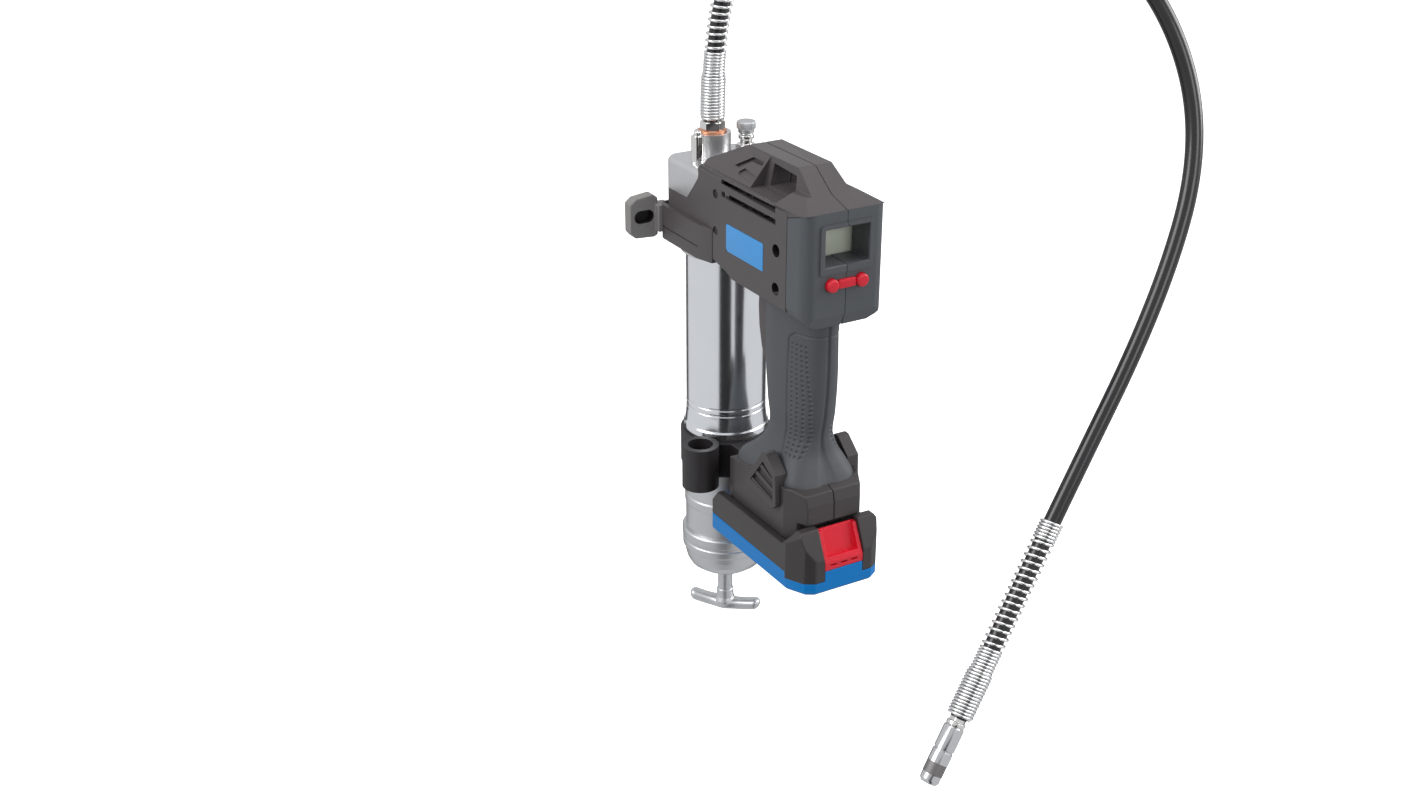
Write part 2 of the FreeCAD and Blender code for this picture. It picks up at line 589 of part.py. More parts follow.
# ---------------------------------------------------------------- handle
GRIP_SECTIONS = [             # height, front X, rear X, half width
    (86.9, 64.0, 129.0, 16.2), (60.0, 65.0, 129.4, 16.4), (35.0, 66.2, 129.2, 17.0), (10.0, 69.8, 127.0, 17.0),
    (-8.0, 73.5, 124.0, 17.2), (-18.0, 72.0, 125.0, 19.0), (-27.0, 65.0, 128.8, 22.6), (-34.0, 56.5, 132.0, 26.6),
    (-40.0, 51.5, 134.5, 27.8), (-47.0, 50.0, 137.0, 27.8)]


def grip_section(height, front, rear, half, inset=0.0):
    """One closed rounded cross-section of the handle."""
    middle, reach = (front + rear) / 2, (rear - front) / 2 - inset
    squareness = 2 / 2.5
    count = 20
    points = []
    for i in range(count):
        angle = 2 * pi * i / count
        c, s = cos(angle), sin(angle)
        x = middle + reach * (1 if c > 0 else -1) * abs(c) ** squareness
        y = (half - inset) * (1 if s > 0 else -1) * abs(s) ** squareness
        points.append(vec(x, y, height))
    curve = Part.BSplineCurve()
    curve.interpolate(Points=points, PeriodicFlag=True)
    return Part.Wire([curve.toShape()])


def grip_solid():
    """The handle's outside, from the motor body to its flare on the foot."""
    return Part.makeLoft([grip_section(*section) for section in GRIP_SECTIONS], True, False)


def make_handle():
    """Left and right handle shells, trigger and trigger switch."""
    inner = Part.makeLoft([grip_section(*section, inset=3.2) for section in GRIP_SECTIONS[:6]], True, False)
    slot = box((50.0, 84.0), (-TRIGGER_HALF - 0.4, TRIGGER_HALF + 0.4), (27.5, 90.0))
    shell = grip_solid().cut(inner).cut(slot).cut(bezel_solid()).cut(base_solid())
    left, right = halves(shell)
    add("grip_left", left)
    add("grip_right", right)

    outline = [(55.0, 84.0), (54.0, 66.0), (55.2, 52.0), (58.6, 38.0), (63.0, 29.0), (69.0, 28.5), (74.0, 34.0),
               (74.0, 84.0)]
    trigger = side_prism(outline, TRIGGER_HALF)

    def finger_edge(edge):
        bounds = edge.BoundBox
        return bounds.YLength < 0.01 and bounds.XMax < 63.1 and bounds.ZLength > 5

    add("trigger", rounded(trigger, 5.0, finger_edge))
    add("trigger_switch", box((84.0, 104.0), (-8.0, 8.0), (38.0, 76.0)))


# ---------------------------------------------------------------- foot
def base_solid():
    """The foot's outside."""
    low = BASE_LOW
    outline = [(BASE_X[0], low), (BASE_X[0], -55.0), (50.0, -45.0), (60.0, -41.6), (82.0, -38.0),
               (129.0, -35.8), (138.6, -38.2), (140.6, -46.0), (BASE_X[1], -59.0), (133.5, -59.0), (133.5, low)]
    foot = side_prism(outline, BASE_HALF)
    plan = mirrored([(BASE_X[0], 21.0), (50.0, 26.0), (62.0, BASE_HALF), (124.0, BASE_HALF), (BASE_X[1] + 1, 20.0)])
    return foot.common(plan_prism(plan, low - 1, 0))


def make_base():
    """Left and right foot shells with the battery channel, and the vent pods on their sides."""
    channel = box((52.0, BASE_X[1] + 2), (-RAIL_HALF - 0.6, RAIL_HALF + 0.6), (BASE_LOW - 1, RAIL_TOP + 0.6))
    hollow = box((54.0, 130.0), (-BASE_HALF + 6, BASE_HALF - 6), (-60.0, -49.5))
    shell = base_solid().cut(channel).cut(hollow)
    left, right = halves(shell)
    add("base_left", left)
    add("base_right", right)

    outline = [(80.0, -48.0), (103.0, -17.5), (107.0, -17.5), (119.5, -28.0), (120.5, -50.0), (116.0, -54.0)]
    out = BASE_HALF + 4.0
    pod = polygon_prism([vec(x, -out, z) for x, z in outline], vec(0, 9.0, 0))
    pod = pod.cut(polygon_prism([vec(88.0, -out - 1, -44.0), vec(103.5, -out - 1, -24.5),
                                 vec(116.0, -out - 1, -31.0), vec(116.5, -out - 1, -48.5)], vec(0, 3.4, 0)))
    ribs = [polygon_prism([vec(85.0 + 6 * i, -out + 0.6, -44.5 + 7.5 * i), vec(117.5, -out + 0.6, -50.5 + 7.5 * i),
                           vec(117.5, -out + 0.6, -47.5 + 7.5 * i), vec(86.5 + 6 * i, -out + 0.6, -41.5 + 7.5 * i)],
                          vec(0, 2.6, 0)) for i in range(3)]
    pod = fused(pod, *ribs).cut(base_solid()).cut(grip_solid())
    add("vent_pods", *both_sides(pod))

    blades = [box((52.5, 68.0), (y - 0.4, y + 0.4), (-76.0, -70.0)) for y in (-12.0, -4.0, 4.0, 12.0)]
    block = box((52.0, 57.0), (-16.0, 16.0), (-78.0, -67.0))
    add("tool_terminals", fused(block, *blades))


def make_clamp():
    """Clamp round the barrel's foot that steadies the handle and holds the hose's nozzle."""
    low, high = -74.0, -47.5
    inner = LOWER_R + 0.05
    band = tube(LOWER_R + 3.4, inner, low, high)
    angle = radians(-54.7)
    centre = (43.4 * cos(angle), 43.4 * sin(angle))
    holder_z = (-76.0, -44.0)
    arm = box((27.0, 60.0), (-13.0, 13.0), (low, high)).cut(base_solid())
    holder = post(13.0, *holder_z, centre)
    clamp = fused(band, holder, arm).cut(post(inner, low - 5, high + 5)).cut(post(LIP_R + 0.3, LIP_Z[0] - 0.3, 0))
    add("hose_holder_clamp", clamp.cut(post(8.9, *holder_z, centre)))


# ---------------------------------------------------------------- collar and strap eyelet
def collar_solid():
    """The collar's outside."""
    half = 34.0
    front = -37.5
    plan = mirrored([(front, half), (19.0, half), (32.3, BODY_HALF + 0.4)])
    low, high = 91.4, 115.7
    collar = plan_prism(plan, low, high)
    return rounded(collar, 10.0, lambda edge: is_vertical(edge) and edge.BoundBox.XMax < front + 0.1)


def make_collar():
    """Two-band collar over the barrel socket, and the carrying strap's eyelet on its front corner."""
    collar = collar_solid()
    groove_z = 100.4
    shrunk = plan_prism(mirrored([(-36.7, 33.2), (33.0, 33.2)]), groove_z - 0.6, groove_z + 0.6)
    shrunk = rounded(shrunk, 9.5, lambda edge: is_vertical(edge) and edge.BoundBox.XMax < -36.6)
    slab = box((-40.0, 19.0), (-40.0, 40.0), (groove_z - 0.6, groove_z + 0.6))
    collar = collar.cut(slab.cut(shrunk))
    collar = collar.cut(post(SOCKET_R + 0.1, 90.0, EAR_Z[0]))
    half = BODY_HALF + 0.1
    collar = collar.cut(box((HEAD_FRONT - 0.1, 40.0), (-half, half), (EAR_Z[0], 120.0)))
    add("barrel_collar", collar)

    lug = end_prism([(-35.0, 93.0), (-35.0, 119.5), (-38.5, 122.5), (-52.0, 121.0), (-56.5, 117.5), (-56.5, 97.0),
                     (-52.5, 92.5), (-38.0, 91.5)], LUG_X[0], LUG_X[1])
    depth = (LUG_X[1] - LUG_DEPTH, LUG_X[1] + 1)
    ends = [rod(4.6, vec(depth[0], y, 107.5), vec(depth[1], y, 107.5)) for y in (-48.8, -43.0)]
    slot = fused(box(depth, (-48.8, -43.0), (102.9, 112.1)), *ends)
    neck = box((LUG_X[0] + 1, -30.0), (-37.0, -27.0), (96.0, 115.0))
    eyelet = fused(lug, neck).cut(slot).cut(collar_solid())
    add("strap_eyelet", eyelet)


# ---------------------------------------------------------------- battery
def pack_plan(inset=0.0):
    """The battery's plan outline."""
    rear = PACK_X[1] - inset
    half = PACK_HALF - inset
    return mirrored([(PACK_X[0] + inset, 30.0 - inset), (PACK_X[0] + 5.0, half), (137.0, half), (150.5, 28.5 - inset),
                     (rear, 22.0 - inset)])


def make_battery():
    """Slide-on pack: lower and upper shells, five cells, contacts and latch."""
    latch_low = -88.0
    tray = plan_prism(pack_plan(), PACK_LOW, PACK_SPLIT)

    def keel(edge):
        bounds = edge.BoundBox
        return bounds.ZMax < PACK_LOW + 0.01

    tray = tray.makeChamfer(2.6, [edge for edge in tray.Edges if keel(edge)])
    sill = box((147.0, PACK_X[1]), (-LATCH_HALF, LATCH_HALF), (PACK_SPLIT - 1, latch_low))
    tray = fused(tray, sill)
    hollow = box((CELL_ROOM_FRONT, 136.0), (-33.0, 33.0), (PACK_LOW + 2.0, PACK_SPLIT))
    corner = box((CORNER_X, 160.0), (LATCH_HALF, 40.0), (CORNER_LOW, PACK_SPLIT))
    blocks = [side.common(plan_prism(pack_plan(), PACK_LOW, PACK_SPLIT)) for side in both_sides(corner)]
    add("battery_tray", tray.cut(hollow).cut(blocks[0]).cut(blocks[1]))

    profile = [(PACK_X[0], PACK_SPLIT), (PACK_X[0], -86.0), (48.0, -71.5), (132.0, -71.5), (137.0, -65.0),
               (140.0, -59.6), (146.0, -59.6), (PACK_X[1], -79.0), (PACK_X[1], PACK_SPLIT)]
    lid = side_prism(profile, PACK_HALF + 1).common(plan_prism(pack_plan(), PACK_SPLIT, -50.0))
    shoulders = mirrored_section([(PACK_HALF, PACK_SPLIT), (PACK_HALF, -69.0), (28.0, -59.0)])
    lid = fused(lid.common(end_prism(shoulders, PACK_X[0], PACK_X[1])), *blocks)
    deck = box((30.0, 136.0), (-BASE_HALF - 0.5, BASE_HALF + 0.5), (PACK_DECK, -50.0))
    lid = lid.cut(deck)
    rail = box((72.0, 136.5), (-RAIL_HALF, RAIL_HALF), (PACK_DECK - 1, RAIL_TOP))
    rail = rail.cut(box((70.0, 132.0), (-RAIL_HALF - 1, -RAIL_HALF + 3), (PACK_DECK + 0.5, PACK_DECK + 5.0)))
    rail = rail.cut(box((70.0, 132.0), (RAIL_HALF - 3, RAIL_HALF + 1), (PACK_DECK + 0.5, PACK_DECK + 5.0)))
    lid = fused(lid, rail)
    well = box((137.6, 160.0), (-LATCH_HALF - GAP, LATCH_HALF + GAP), (latch_low, -50.0))
    sill_room = box((147.0, 160.0), (-LATCH_HALF, LATCH_HALF), (PACK_SPLIT - 1, latch_low + 0.01))
    cell_room = box((CELL_ROOM_FRONT, 136.0), (-33.0, 33.0), (PACK_SPLIT, -83.6))
    lid = lid.cut(well).cut(cell_room).cut(sill_room)
    add("battery_lid", lid)

    cell_r = 9.1
    cells = [rod(cell_r, vec(x, -32.3, -93.0), vec(x, 32.3, -93.0)) for x in (51.0, 69.5, 88.0, 106.5, 125.0)]
    add("battery_cells", *cells)

    outline = [(140.6, -62.4), (145.0, -62.4), (154.4, -82.0), (154.4, latch_low + 0.3), (147.0, latch_low + 0.3),
               (140.6, -80.0)]
    latch = side_prism(outline, LATCH_HALF)
    scoop = side_prism([(141.0, -58.0), (143.4, -66.5), (148.0, -80.0), (158.0, -77.0), (160.0, -58.0)],
                       LATCH_HALF - 3.0)
    slots = [box((152.0, 156.0), (y - 2.5, y + 2.5), (-84.9, -83.7)) for y in (-8.0, 0.0, 8.0)]
    latch = latch.cut(scoop)
    for slot in slots:
        latch = latch.cut(slot)
    add("battery_latch", latch)


# ---------------------------------------------------------------- hose
def unit(a, b):
    """The direction from one point to another."""
    return b.sub(a).normalize()


def hose_path():
    """Straight runs joined by tangent arcs, each as large as its two runs allow."""
    points = [vec(*point) for point in HOSE_ROUTE]
    edges = []
    radii = []
    start = points[0]
    for before, corner, after in zip(points, points[1:], points[2:]):
        trim = 0.45 * min(corner.sub(before).Length, after.sub(corner).Length)
        into, out = unit(before, corner), unit(corner, after)
        turn = into.getAngle(out)
        radius = trim / tan(turn / 2)
        radii.append(radius)
        enter = corner.sub(into * trim)
        leave = corner.add(out * trim)
        inward = out.sub(into).normalize()
        middle = corner.add(inward * (radius / cos(turn / 2) - radius))
        edges.append(Part.LineSegment(start, enter).toShape())
        edges.append(Part.Arc(enter, middle, leave).toShape())
        start = leave
    edges.append(Part.LineSegment(start, points[-1]).toShape())
    return Part.Wire(edges), radii


def make_hose():
    """The whip hose, the coil guards at its ends, its ferrule and the grease coupler."""
    path, radii = hose_path()
    start, end = vec(*HOSE_ROUTE[0]), vec(*HOSE_ROUTE[-1])
    section = Part.Wire([Part.makeCircle(HOSE_R, start, vec(0, 0, 1))])
    hose = path.makePipeShell([section], True, True)
    add("hose", hose)
    expected = pi * HOSE_R ** 2 * path.Length
    print("hose length %.1f, arc radii %s" % (path.Length, [round(radius) for radius in radii]))
    print("hose volume %.0f, section times length %.0f" % (hose.Volume, expected))

    def sleeve(outer, inner, low, high):
        return rod(outer, low, high).cut(rod(inner, low, high))

    up = vec(0, 0, 1)
    bore = HOSE_R + 1.2
    add("upper_guard", sleeve(GUARD_R, bore, start, start.add(up * GUARD_LENGTH)))
    down = unit(vec(*HOSE_ROUTE[-2]), end)
    add("lower_guard", sleeve(GUARD_R, bore, end.sub(down * GUARD_LENGTH), end))

    neck = rod(5.6, end, end.add(down * 5.0))
    shank = rod(4.4, end.add(down * 5.0), end.add(down * 16.0))
    add("hose_ferrule", fused(neck, shank).cut(rod(1.5, end, end.add(down * 16.0))))
    body = sleeve(COUPLER_R, 4.42, end.add(down * 5.0), end.add(down * 30.0))
    body = body.cut(sleeve(COUPLER_R + 1, COUPLER_R - 0.7, end.add(down * 21.0), end.add(down * 22.2)))
    add("coupler_body", body)
    tip = end.add(down * 44.0)
    nose = rod(COUPLER_R - 0.3, end.add(down * 30.0), tip).cut(rod(3.6, end.add(down * 30.0), tip))
    add("coupler_nose", nose)
    jaws = sleeve(4.4, 2.2, end.add(down * 20.0), end.add(down * 30.0))
    add("coupler_jaws", jaws)
    print("coupler tip (%.2f, %.2f, %.2f) along (%.4f, %.4f, %.4f)" % (tuple(tip) + tuple(down)))


# ---------------------------------------------------------------- build and write
def main():
    """Makes every sub-part and writes one file for each."""
    for make in (make_barrel, make_end_cap, make_follower, make_pump_head, make_head_fittings, make_drive,
                 make_body, make_bezel, make_handle, make_base, make_clamp, make_collar, make_battery, make_hose):
        make()
    os.makedirs("parts", exist_ok=True)
    for name, shape in NODES.items():
        if not shape.isValid() or shape.Volume <= 0:
            print("check this solid:", name, "valid", shape.isValid(), "volume", round(shape.Volume, 1))
        shape.exportStep("parts/%s.step" % name)
    whole = Part.makeCompound(list(NODES.values())).BoundBox
    print("%d nodes, box %.0f x %.0f x %.0f mm" % (len(NODES), whole.XLength, whole.YLength, whole.ZLength))


main()
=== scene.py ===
"""Looks of a cordless grease gun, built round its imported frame.

Every piece lies in the gun's own frame: +Z up along the barrel, +X towards the handle and the display,
and Y = 0 is the parting plane of the mouldings.  Sizes are written in millimetres and turned to
metres once,
when a mesh is made.
"""
import json
import logging
import math
from collections.abc import Callable, Iterator, Sequence
from contextlib import contextmanager
from dataclasses import dataclass, field
from enum import Enum
from itertools import product

import bmesh
import bpy
import numpy as np
from mathutils import Matrix


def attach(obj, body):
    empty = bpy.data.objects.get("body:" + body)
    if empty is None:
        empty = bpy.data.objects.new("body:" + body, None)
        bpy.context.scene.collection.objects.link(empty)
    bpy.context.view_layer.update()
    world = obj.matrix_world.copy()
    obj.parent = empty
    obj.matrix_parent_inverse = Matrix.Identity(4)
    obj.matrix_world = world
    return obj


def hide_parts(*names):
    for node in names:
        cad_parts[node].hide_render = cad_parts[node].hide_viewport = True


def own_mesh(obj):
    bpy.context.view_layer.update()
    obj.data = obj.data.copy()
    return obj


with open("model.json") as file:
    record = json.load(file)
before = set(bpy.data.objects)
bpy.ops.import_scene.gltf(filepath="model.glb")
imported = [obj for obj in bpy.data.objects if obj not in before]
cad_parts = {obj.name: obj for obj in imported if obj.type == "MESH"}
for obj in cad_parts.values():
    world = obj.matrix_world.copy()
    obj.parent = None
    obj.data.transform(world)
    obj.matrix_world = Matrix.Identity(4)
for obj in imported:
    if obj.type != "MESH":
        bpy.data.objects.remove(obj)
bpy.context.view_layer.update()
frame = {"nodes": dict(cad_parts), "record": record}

LOG = logging.getLogger("grease_gun")
MM = 0.001
OWN_WELD_M = 2e-6
FRAME_WELD_M = 1e-5
FLAT_DEGREES = 0.4
ROUNDING_SEGMENTS = 3
ROUNDING_ROOM = 2.1
EVEN_WEIGHT = 50
CRISP_DEGREES = 35.0
HAIR_MM = 1e-6
SIDES = (("left", -1), ("right", 1))
Point = tuple[float, float, float]
Array = np.ndarray
Solid = tuple[Array, list[list[int]]]
Rule = Callable[[Array, Array, Array], Array]


# -------- finishes
class Grain(Enum):
    """How a finish's fine relief runs: the scale of its noise along X, Y and Z."""

    FINE = (1.0, 1.0, 1.0)
    BRUSHED = (0.12, 0.12, 3.0)
    DRAWN = (2.0, 2.0, 0.02)
    CAST = (0.55, 0.55, 0.55)


def feed(tree: bpy.types.NodeTree, node: bpy.types.Node, inputs: dict[str, object]) -> bpy.types.Node:
    """Sets each named input of a node to a value, or links it to a socket."""
    for name, value in inputs.items():
        if isinstance(value, bpy.types.NodeSocket):
            tree.links.new(value, node.inputs[name])
        else:
            node.inputs[name].default_value = value
    return node


@dataclass(frozen=True)
class Finish:
    """A procedural surface finish on Object coordinates."""

    name: str
    colour: tuple[float, float, float]
    roughness: float
    metallic: float = 0.0
    grain: Grain = Grain.FINE
    grain_per_m: float = 1800.0
    relief_mm: float = 0.03
    mottle: float = 0.06
    mottle_per_m: float = 45.0
    coat: float = 0.0
    specular: float = 0.5
    alpha: float = 1.0

    def material(self) -> bpy.types.Material:
        """Builds the material once and hands the same one back later.

        Returns:
            The Blender material: colour and roughness vary with a broad noise, and a fine noise
            gives the relief.
        """
        made = bpy.data.materials.get(self.name)
        if made:
            return made
        made = bpy.data.materials.new(self.name)
        made.use_nodes = True
        tree = made.node_tree
        place = tree.nodes.new("ShaderNodeTexCoord").outputs["Object"]
        stretch = feed(tree, tree.nodes.new("ShaderNodeMapping"),
                       {"Vector": place, "Scale": self.grain.value})
        fine = self._noise(tree, stretch.outputs["Vector"], self.grain_per_m, 3.0)
        broad = self._noise(tree, place, self.mottle_per_m, 4.0)
        bump = feed(tree, tree.nodes.new("ShaderNodeBump"), {
            "Strength": 1.0, "Distance": self.relief_mm * MM, "Height": fine})
        tint = tree.nodes.new("ShaderNodeMix")
        tint.data_type = "RGBA"
        feed(tree, tint, {
            "A": (*[c * (1 - self.mottle) for c in self.colour], 1),
            "B": (*[min(1.0, c * (1 + self.mottle)) for c in self.colour], 1), "Factor": broad})
        sheen = feed(tree, tree.nodes.new("ShaderNodeMapRange"), {
            "To Min": self.roughness * 0.88, "To Max": min(1.0, self.roughness * 1.12),
            "Value": fine if self.grain is Grain.BRUSHED else broad})
        feed(tree, tree.nodes["Principled BSDF"], {
            "Metallic": self.metallic, "Coat Weight": self.coat, "Coat Roughness": 0.08,
            "Specular IOR Level": self.specular, "Alpha": self.alpha, "Normal": bump.outputs["Normal"],
            "Base Color": tint.outputs["Result"], "Roughness": sheen.outputs["Result"]})
        return made

    @staticmethod
    def _noise(tree: bpy.types.NodeTree, vector: bpy.types.NodeSocket, scale: float, detail: float
               ) -> bpy.types.NodeSocket:
        """Adds a noise texture and returns its grey value."""
        noise = tree.nodes.new("ShaderNodeTexNoise")
        return feed(tree, noise, {"Vector": vector, "Scale": scale, "Detail": detail}).outputs["Fac"]


HOUSING = Finish("warm grey moulding", (0.082, 0.073, 0.075), 0.46, specular=0.45)
REAR_PANEL = Finish("blue grey moulding", (0.083, 0.091, 0.100), 0.48, specular=0.45)
GRIP = Finish("soft grip moulding", (0.082, 0.088, 0.096), 0.56, relief_mm=0.04, specular=0.4)
FOOT = Finish("foot moulding", (0.052, 0.046, 0.047), 0.44, specular=0.45)
EYELET = Finish("light grey moulding", (0.25, 0.24, 0.235), 0.5)
CLAMP = Finish("black moulding", (0.022, 0.019, 0.021), 0.5)
BATTERY_TOP = Finish("brown black moulding", (0.036, 0.031, 0.031), 0.42)
BATTERY_BLUE = Finish("bright blue moulding", (0.0, 0.205, 0.60), 0.36, relief_mm=0.015, mottle=0.03,
                      specular=0.25)
BADGE_BLUE = Finish("badge blue", (0.055, 0.33, 0.76), 0.3, relief_mm=0.004, mottle=0.05,
                    mottle_per_m=18.0)
SIGNAL_RED = Finish("signal red", (0.74, 0.010, 0.030), 0.3, relief_mm=0.01, mottle=0.04)
CASTING = Finish("fine satin casting", (0.66, 0.66, 0.67), 0.36, 1.0, Grain.CAST, 1500.0, 0.03, 0.05)
BRIGHT_STEEL = Finish("bright drawn steel", (0.84, 0.86, 0.89), 0.17, 1.0, Grain.DRAWN, 900.0, 0.002,
                      0.03)
DULL_ZINC = Finish("dull zinc", (0.60, 0.61, 0.62), 0.42, 1.0, Grain.CAST, 1200.0, 0.02, 0.10)
NICKEL = Finish("bright nickel", (0.82, 0.81, 0.79), 0.12, 1.0, Grain.BRUSHED, 700.0, 0.003, 0.03)
SPRING_WIRE = Finish("plated spring wire", (0.84, 0.84, 0.84), 0.16, 1.0, Grain.FINE, 900.0, 0.003, 0.04)
COUPLER = Finish("plated coupler steel", (0.66, 0.66, 0.67), 0.20, 1.0, Grain.BRUSHED, 900.0, 0.004,
                 0.05)
MATTE_BAND = Finish("matte coupler steel", (0.24, 0.23, 0.23), 0.55, 1.0, Grain.CAST, 2200.0, 0.02, 0.08)
COPPER = Finish("annealed copper", (0.75, 0.36, 0.22), 0.3, 1.0, Grain.BRUSHED, 900.0, 0.006, 0.08)
BRONZE = Finish("sintered bronze", (0.52, 0.36, 0.18), 0.5, 1.0, Grain.CAST, 2500.0, 0.02, 0.08)
MACHINED = Finish("machined steel", (0.52, 0.53, 0.54), 0.3, 1.0, Grain.BRUSHED, 900.0, 0.006, 0.05)
FERRITE = Finish("ferrite", (0.03, 0.03, 0.034), 0.6, 0.0, Grain.CAST, 1500.0, 0.03, 0.10)
RUBBER = Finish("nitrile rubber", (0.016, 0.016, 0.016), 0.6, relief_mm=0.02)
HOSE_RUBBER = Finish("smooth hose cover", (0.010, 0.009, 0.010), 0.26, relief_mm=0.01, mottle=0.2,
                     coat=0.25)
BOARD = Finish("circuit board", (0.015, 0.11, 0.045), 0.4, relief_mm=0.01, mottle=0.15,
               mottle_per_m=300.0)
DISPLAY = Finish("pale display glass", (0.86, 0.91, 0.78), 0.22, relief_mm=0.001, mottle=0.07,
                 mottle_per_m=25.0)
LENS = Finish("clear lens", (0.75, 0.80, 0.74), 0.05, relief_mm=0.0, mottle=0.01, alpha=0.10)
BLACK_SCREW = Finish("black oxide steel", (0.05, 0.05, 0.052), 0.35, 1.0, Grain.BRUSHED, 900.0, 0.006,
                     0.05)
CELL_SLEEVE = Finish("cell sleeve", (0.06, 0.25, 0.33), 0.35, relief_mm=0.01)


# -------- surfaces
def grid_faces(rows: int, columns: int, wrap: bool) -> Array:
    """Quads of a grid of points stored row by row.

    Args:
        rows: number of rows of points.
        columns: number of points in a row.
        wrap: whether the last column joins the first.

    Returns:
        An array of four point numbers a face.
    """
    row, column = np.meshgrid(np.arange(rows - 1), np.arange(columns if wrap else columns - 1),
                              indexing="ij")
    after = (column + 1) % columns
    corners = [row * columns + column, row * columns + after, (row + 1) * columns + after,
               (row + 1) * columns + column]
    return np.stack([c.ravel() for c in corners], axis=1)


def tube_faces(rows: int, columns: int) -> list[list[int]]:
    """Quads of a grid that goes round, and a face on its first and on its last row."""
    last = (rows - 1) * columns
    return grid_faces(rows, columns, True).tolist() + [list(range(columns)),
        list(range(last, last + columns))]


def full_turn(count: int) -> Array:
    """Angles spread evenly round a turn."""
    return np.linspace(0, 2 * math.pi, count, endpoint=False)


def unit(vectors: Array) -> Array:
    """Vectors brought to length one."""
    return vectors / np.linalg.norm(vectors, axis=-1, keepdims=True)


@contextmanager
def editing(mesh: bpy.types.Mesh) -> Iterator[bmesh.types.BMesh]:
    """Opens a mesh for editing and writes the result back."""
    made = bmesh.new()
    made.from_mesh(mesh)
    yield made
    made.to_mesh(mesh)
    made.free()


def new_piece(name: str, points: Array, faces: list[list[int]], finish: Finish,
              sharp: float = CRISP_DEGREES
              ) -> bpy.types.Object:
    """Makes a welded, outward-facing mesh piece.

    Args:
        name: the piece's name.
        points: its points in millimetres.
        faces: point numbers of each face.
        finish: what it is dressed in.
        sharp: the angle in degrees past which an edge stays crisp.

    Returns:
        The new object, at the origin.
    """
    mesh = bpy.data.meshes.new(name)
    mesh.from_pydata((points * MM).tolist(), [], faces)
    with editing(mesh) as made:
        bmesh.ops.remove_doubles(made, verts=made.verts, dist=OWN_WELD_M)
        bmesh.ops.recalc_face_normals(made, faces=made.faces)
    return dressed(bpy.data.objects.new(name, mesh), finish, sharp)


def swept(name: str, grid: Array, finish: Finish, sharp: float = 60.0) -> bpy.types.Object:
    """A piece from rows of points that go round it, closed at both ends."""
    return new_piece(name, grid.reshape(-1, 3), tube_faces(*grid.shape[:2]), finish, sharp)


def dressed(piece: bpy.types.Object, finish: Finish, sharp: float) -> bpy.types.Object:
    """Links a mesh object, gives it one finish and shades it smooth up to the sharp angle."""
    bpy.context.scene.collection.objects.link(piece)
    piece.data.materials.clear()
    piece.data.materials.append(finish.material())
    piece.data.polygons.foreach_set("use_smooth", np.ones(len(piece.data.polygons), bool))
    piece.data.set_sharp_from_angle(angle=math.radians(sharp))
    return piece


def filleted(corners: list[tuple[float, ...]], closed: bool = False, steps: int = 5) -> Array:
    """Rounds the corners of an outline.

    Each corner is (a, b, radius), and its arc touches both runs; it is shortened where the runs are
    short.

    Args:
        corners: two coordinates and a fillet radius each.
        closed: whether the last corner joins the first.
        steps: spans of each arc.

    Returns:
        The rounded outline's points.
    """
    count = len(corners)
    out: list[Array] = []
    for i, (a, b, radius) in enumerate(corners):
        here = np.array([a, b], float)
        if radius <= 0 or (not closed and i in (0, count - 1)):
            out.append(here[None, :])
            continue
        before = np.array(corners[(i - 1) % count][:2], float) - here
        after = np.array(corners[(i + 1) % count][:2], float) - here
        reach_b, reach_a = np.linalg.norm(before), np.linalg.norm(after)
        before, after = before / reach_b, after / reach_a
        half = math.acos(float(np.clip(before @ after, -1, 1))) / 2
        cut = min(radius / math.tan(half), 0.48 * min(reach_b, reach_a))
        size = cut * math.tan(half)
        middle = here + (before + after) / np.linalg.norm(before + after) * size / math.sin(half)
        start, end = here + before * cut - middle, here + after * cut - middle
        first = math.atan2(start[1], start[0])
        sweep = (math.atan2(end[1], end[0]) - first + math.pi) % (2 * math.pi) - math.pi
        angles = first + sweep * np.linspace(0, 1, steps + 1)
        out.append(middle + size * np.stack([np.cos(angles), np.sin(angles)], axis=1))
    return np.concatenate(out)


def basis(direction: Point | Array) -> tuple[Array, Array, Array]:
    """Two unit vectors across a direction, and the direction itself as a unit vector."""
    along = unit(np.array(direction, float))
    aside = np.array([1.0, 0, 0]) if abs(along[0]) < 0.9 else np.array([0, 1.0, 0])
    u = unit(np.cross(along, aside))
    return u, np.cross(along, u), along


def revolved(profile: Array, around: int, at: Point = (0, 0, 0), direction: Point = (0, 0, 1),
             shape: Rule | None = None) -> Solid:
    """Carries a profile's (radius, height) points round an axis.

    The point at angle t is at + height * direction + radius * (cos t * u + sin t * v).
    """
    u, v, along = basis(direction)
    angle = full_turn(around)[None, :]
    radius = np.repeat(profile[:, :1], around, axis=1)
    height = np.repeat(profile[:, 1:2], around, axis=1)
    if shape is not None:
        radius = shape(radius, angle + 0 * radius, height)
    points = (np.array(at, float) + height[..., None] * along
              + radius[..., None] * (np.cos(angle)[..., None] * u + np.sin(angle)[..., None] * v))
    return points.reshape(-1, 3), grid_faces(len(profile), around, True).tolist()


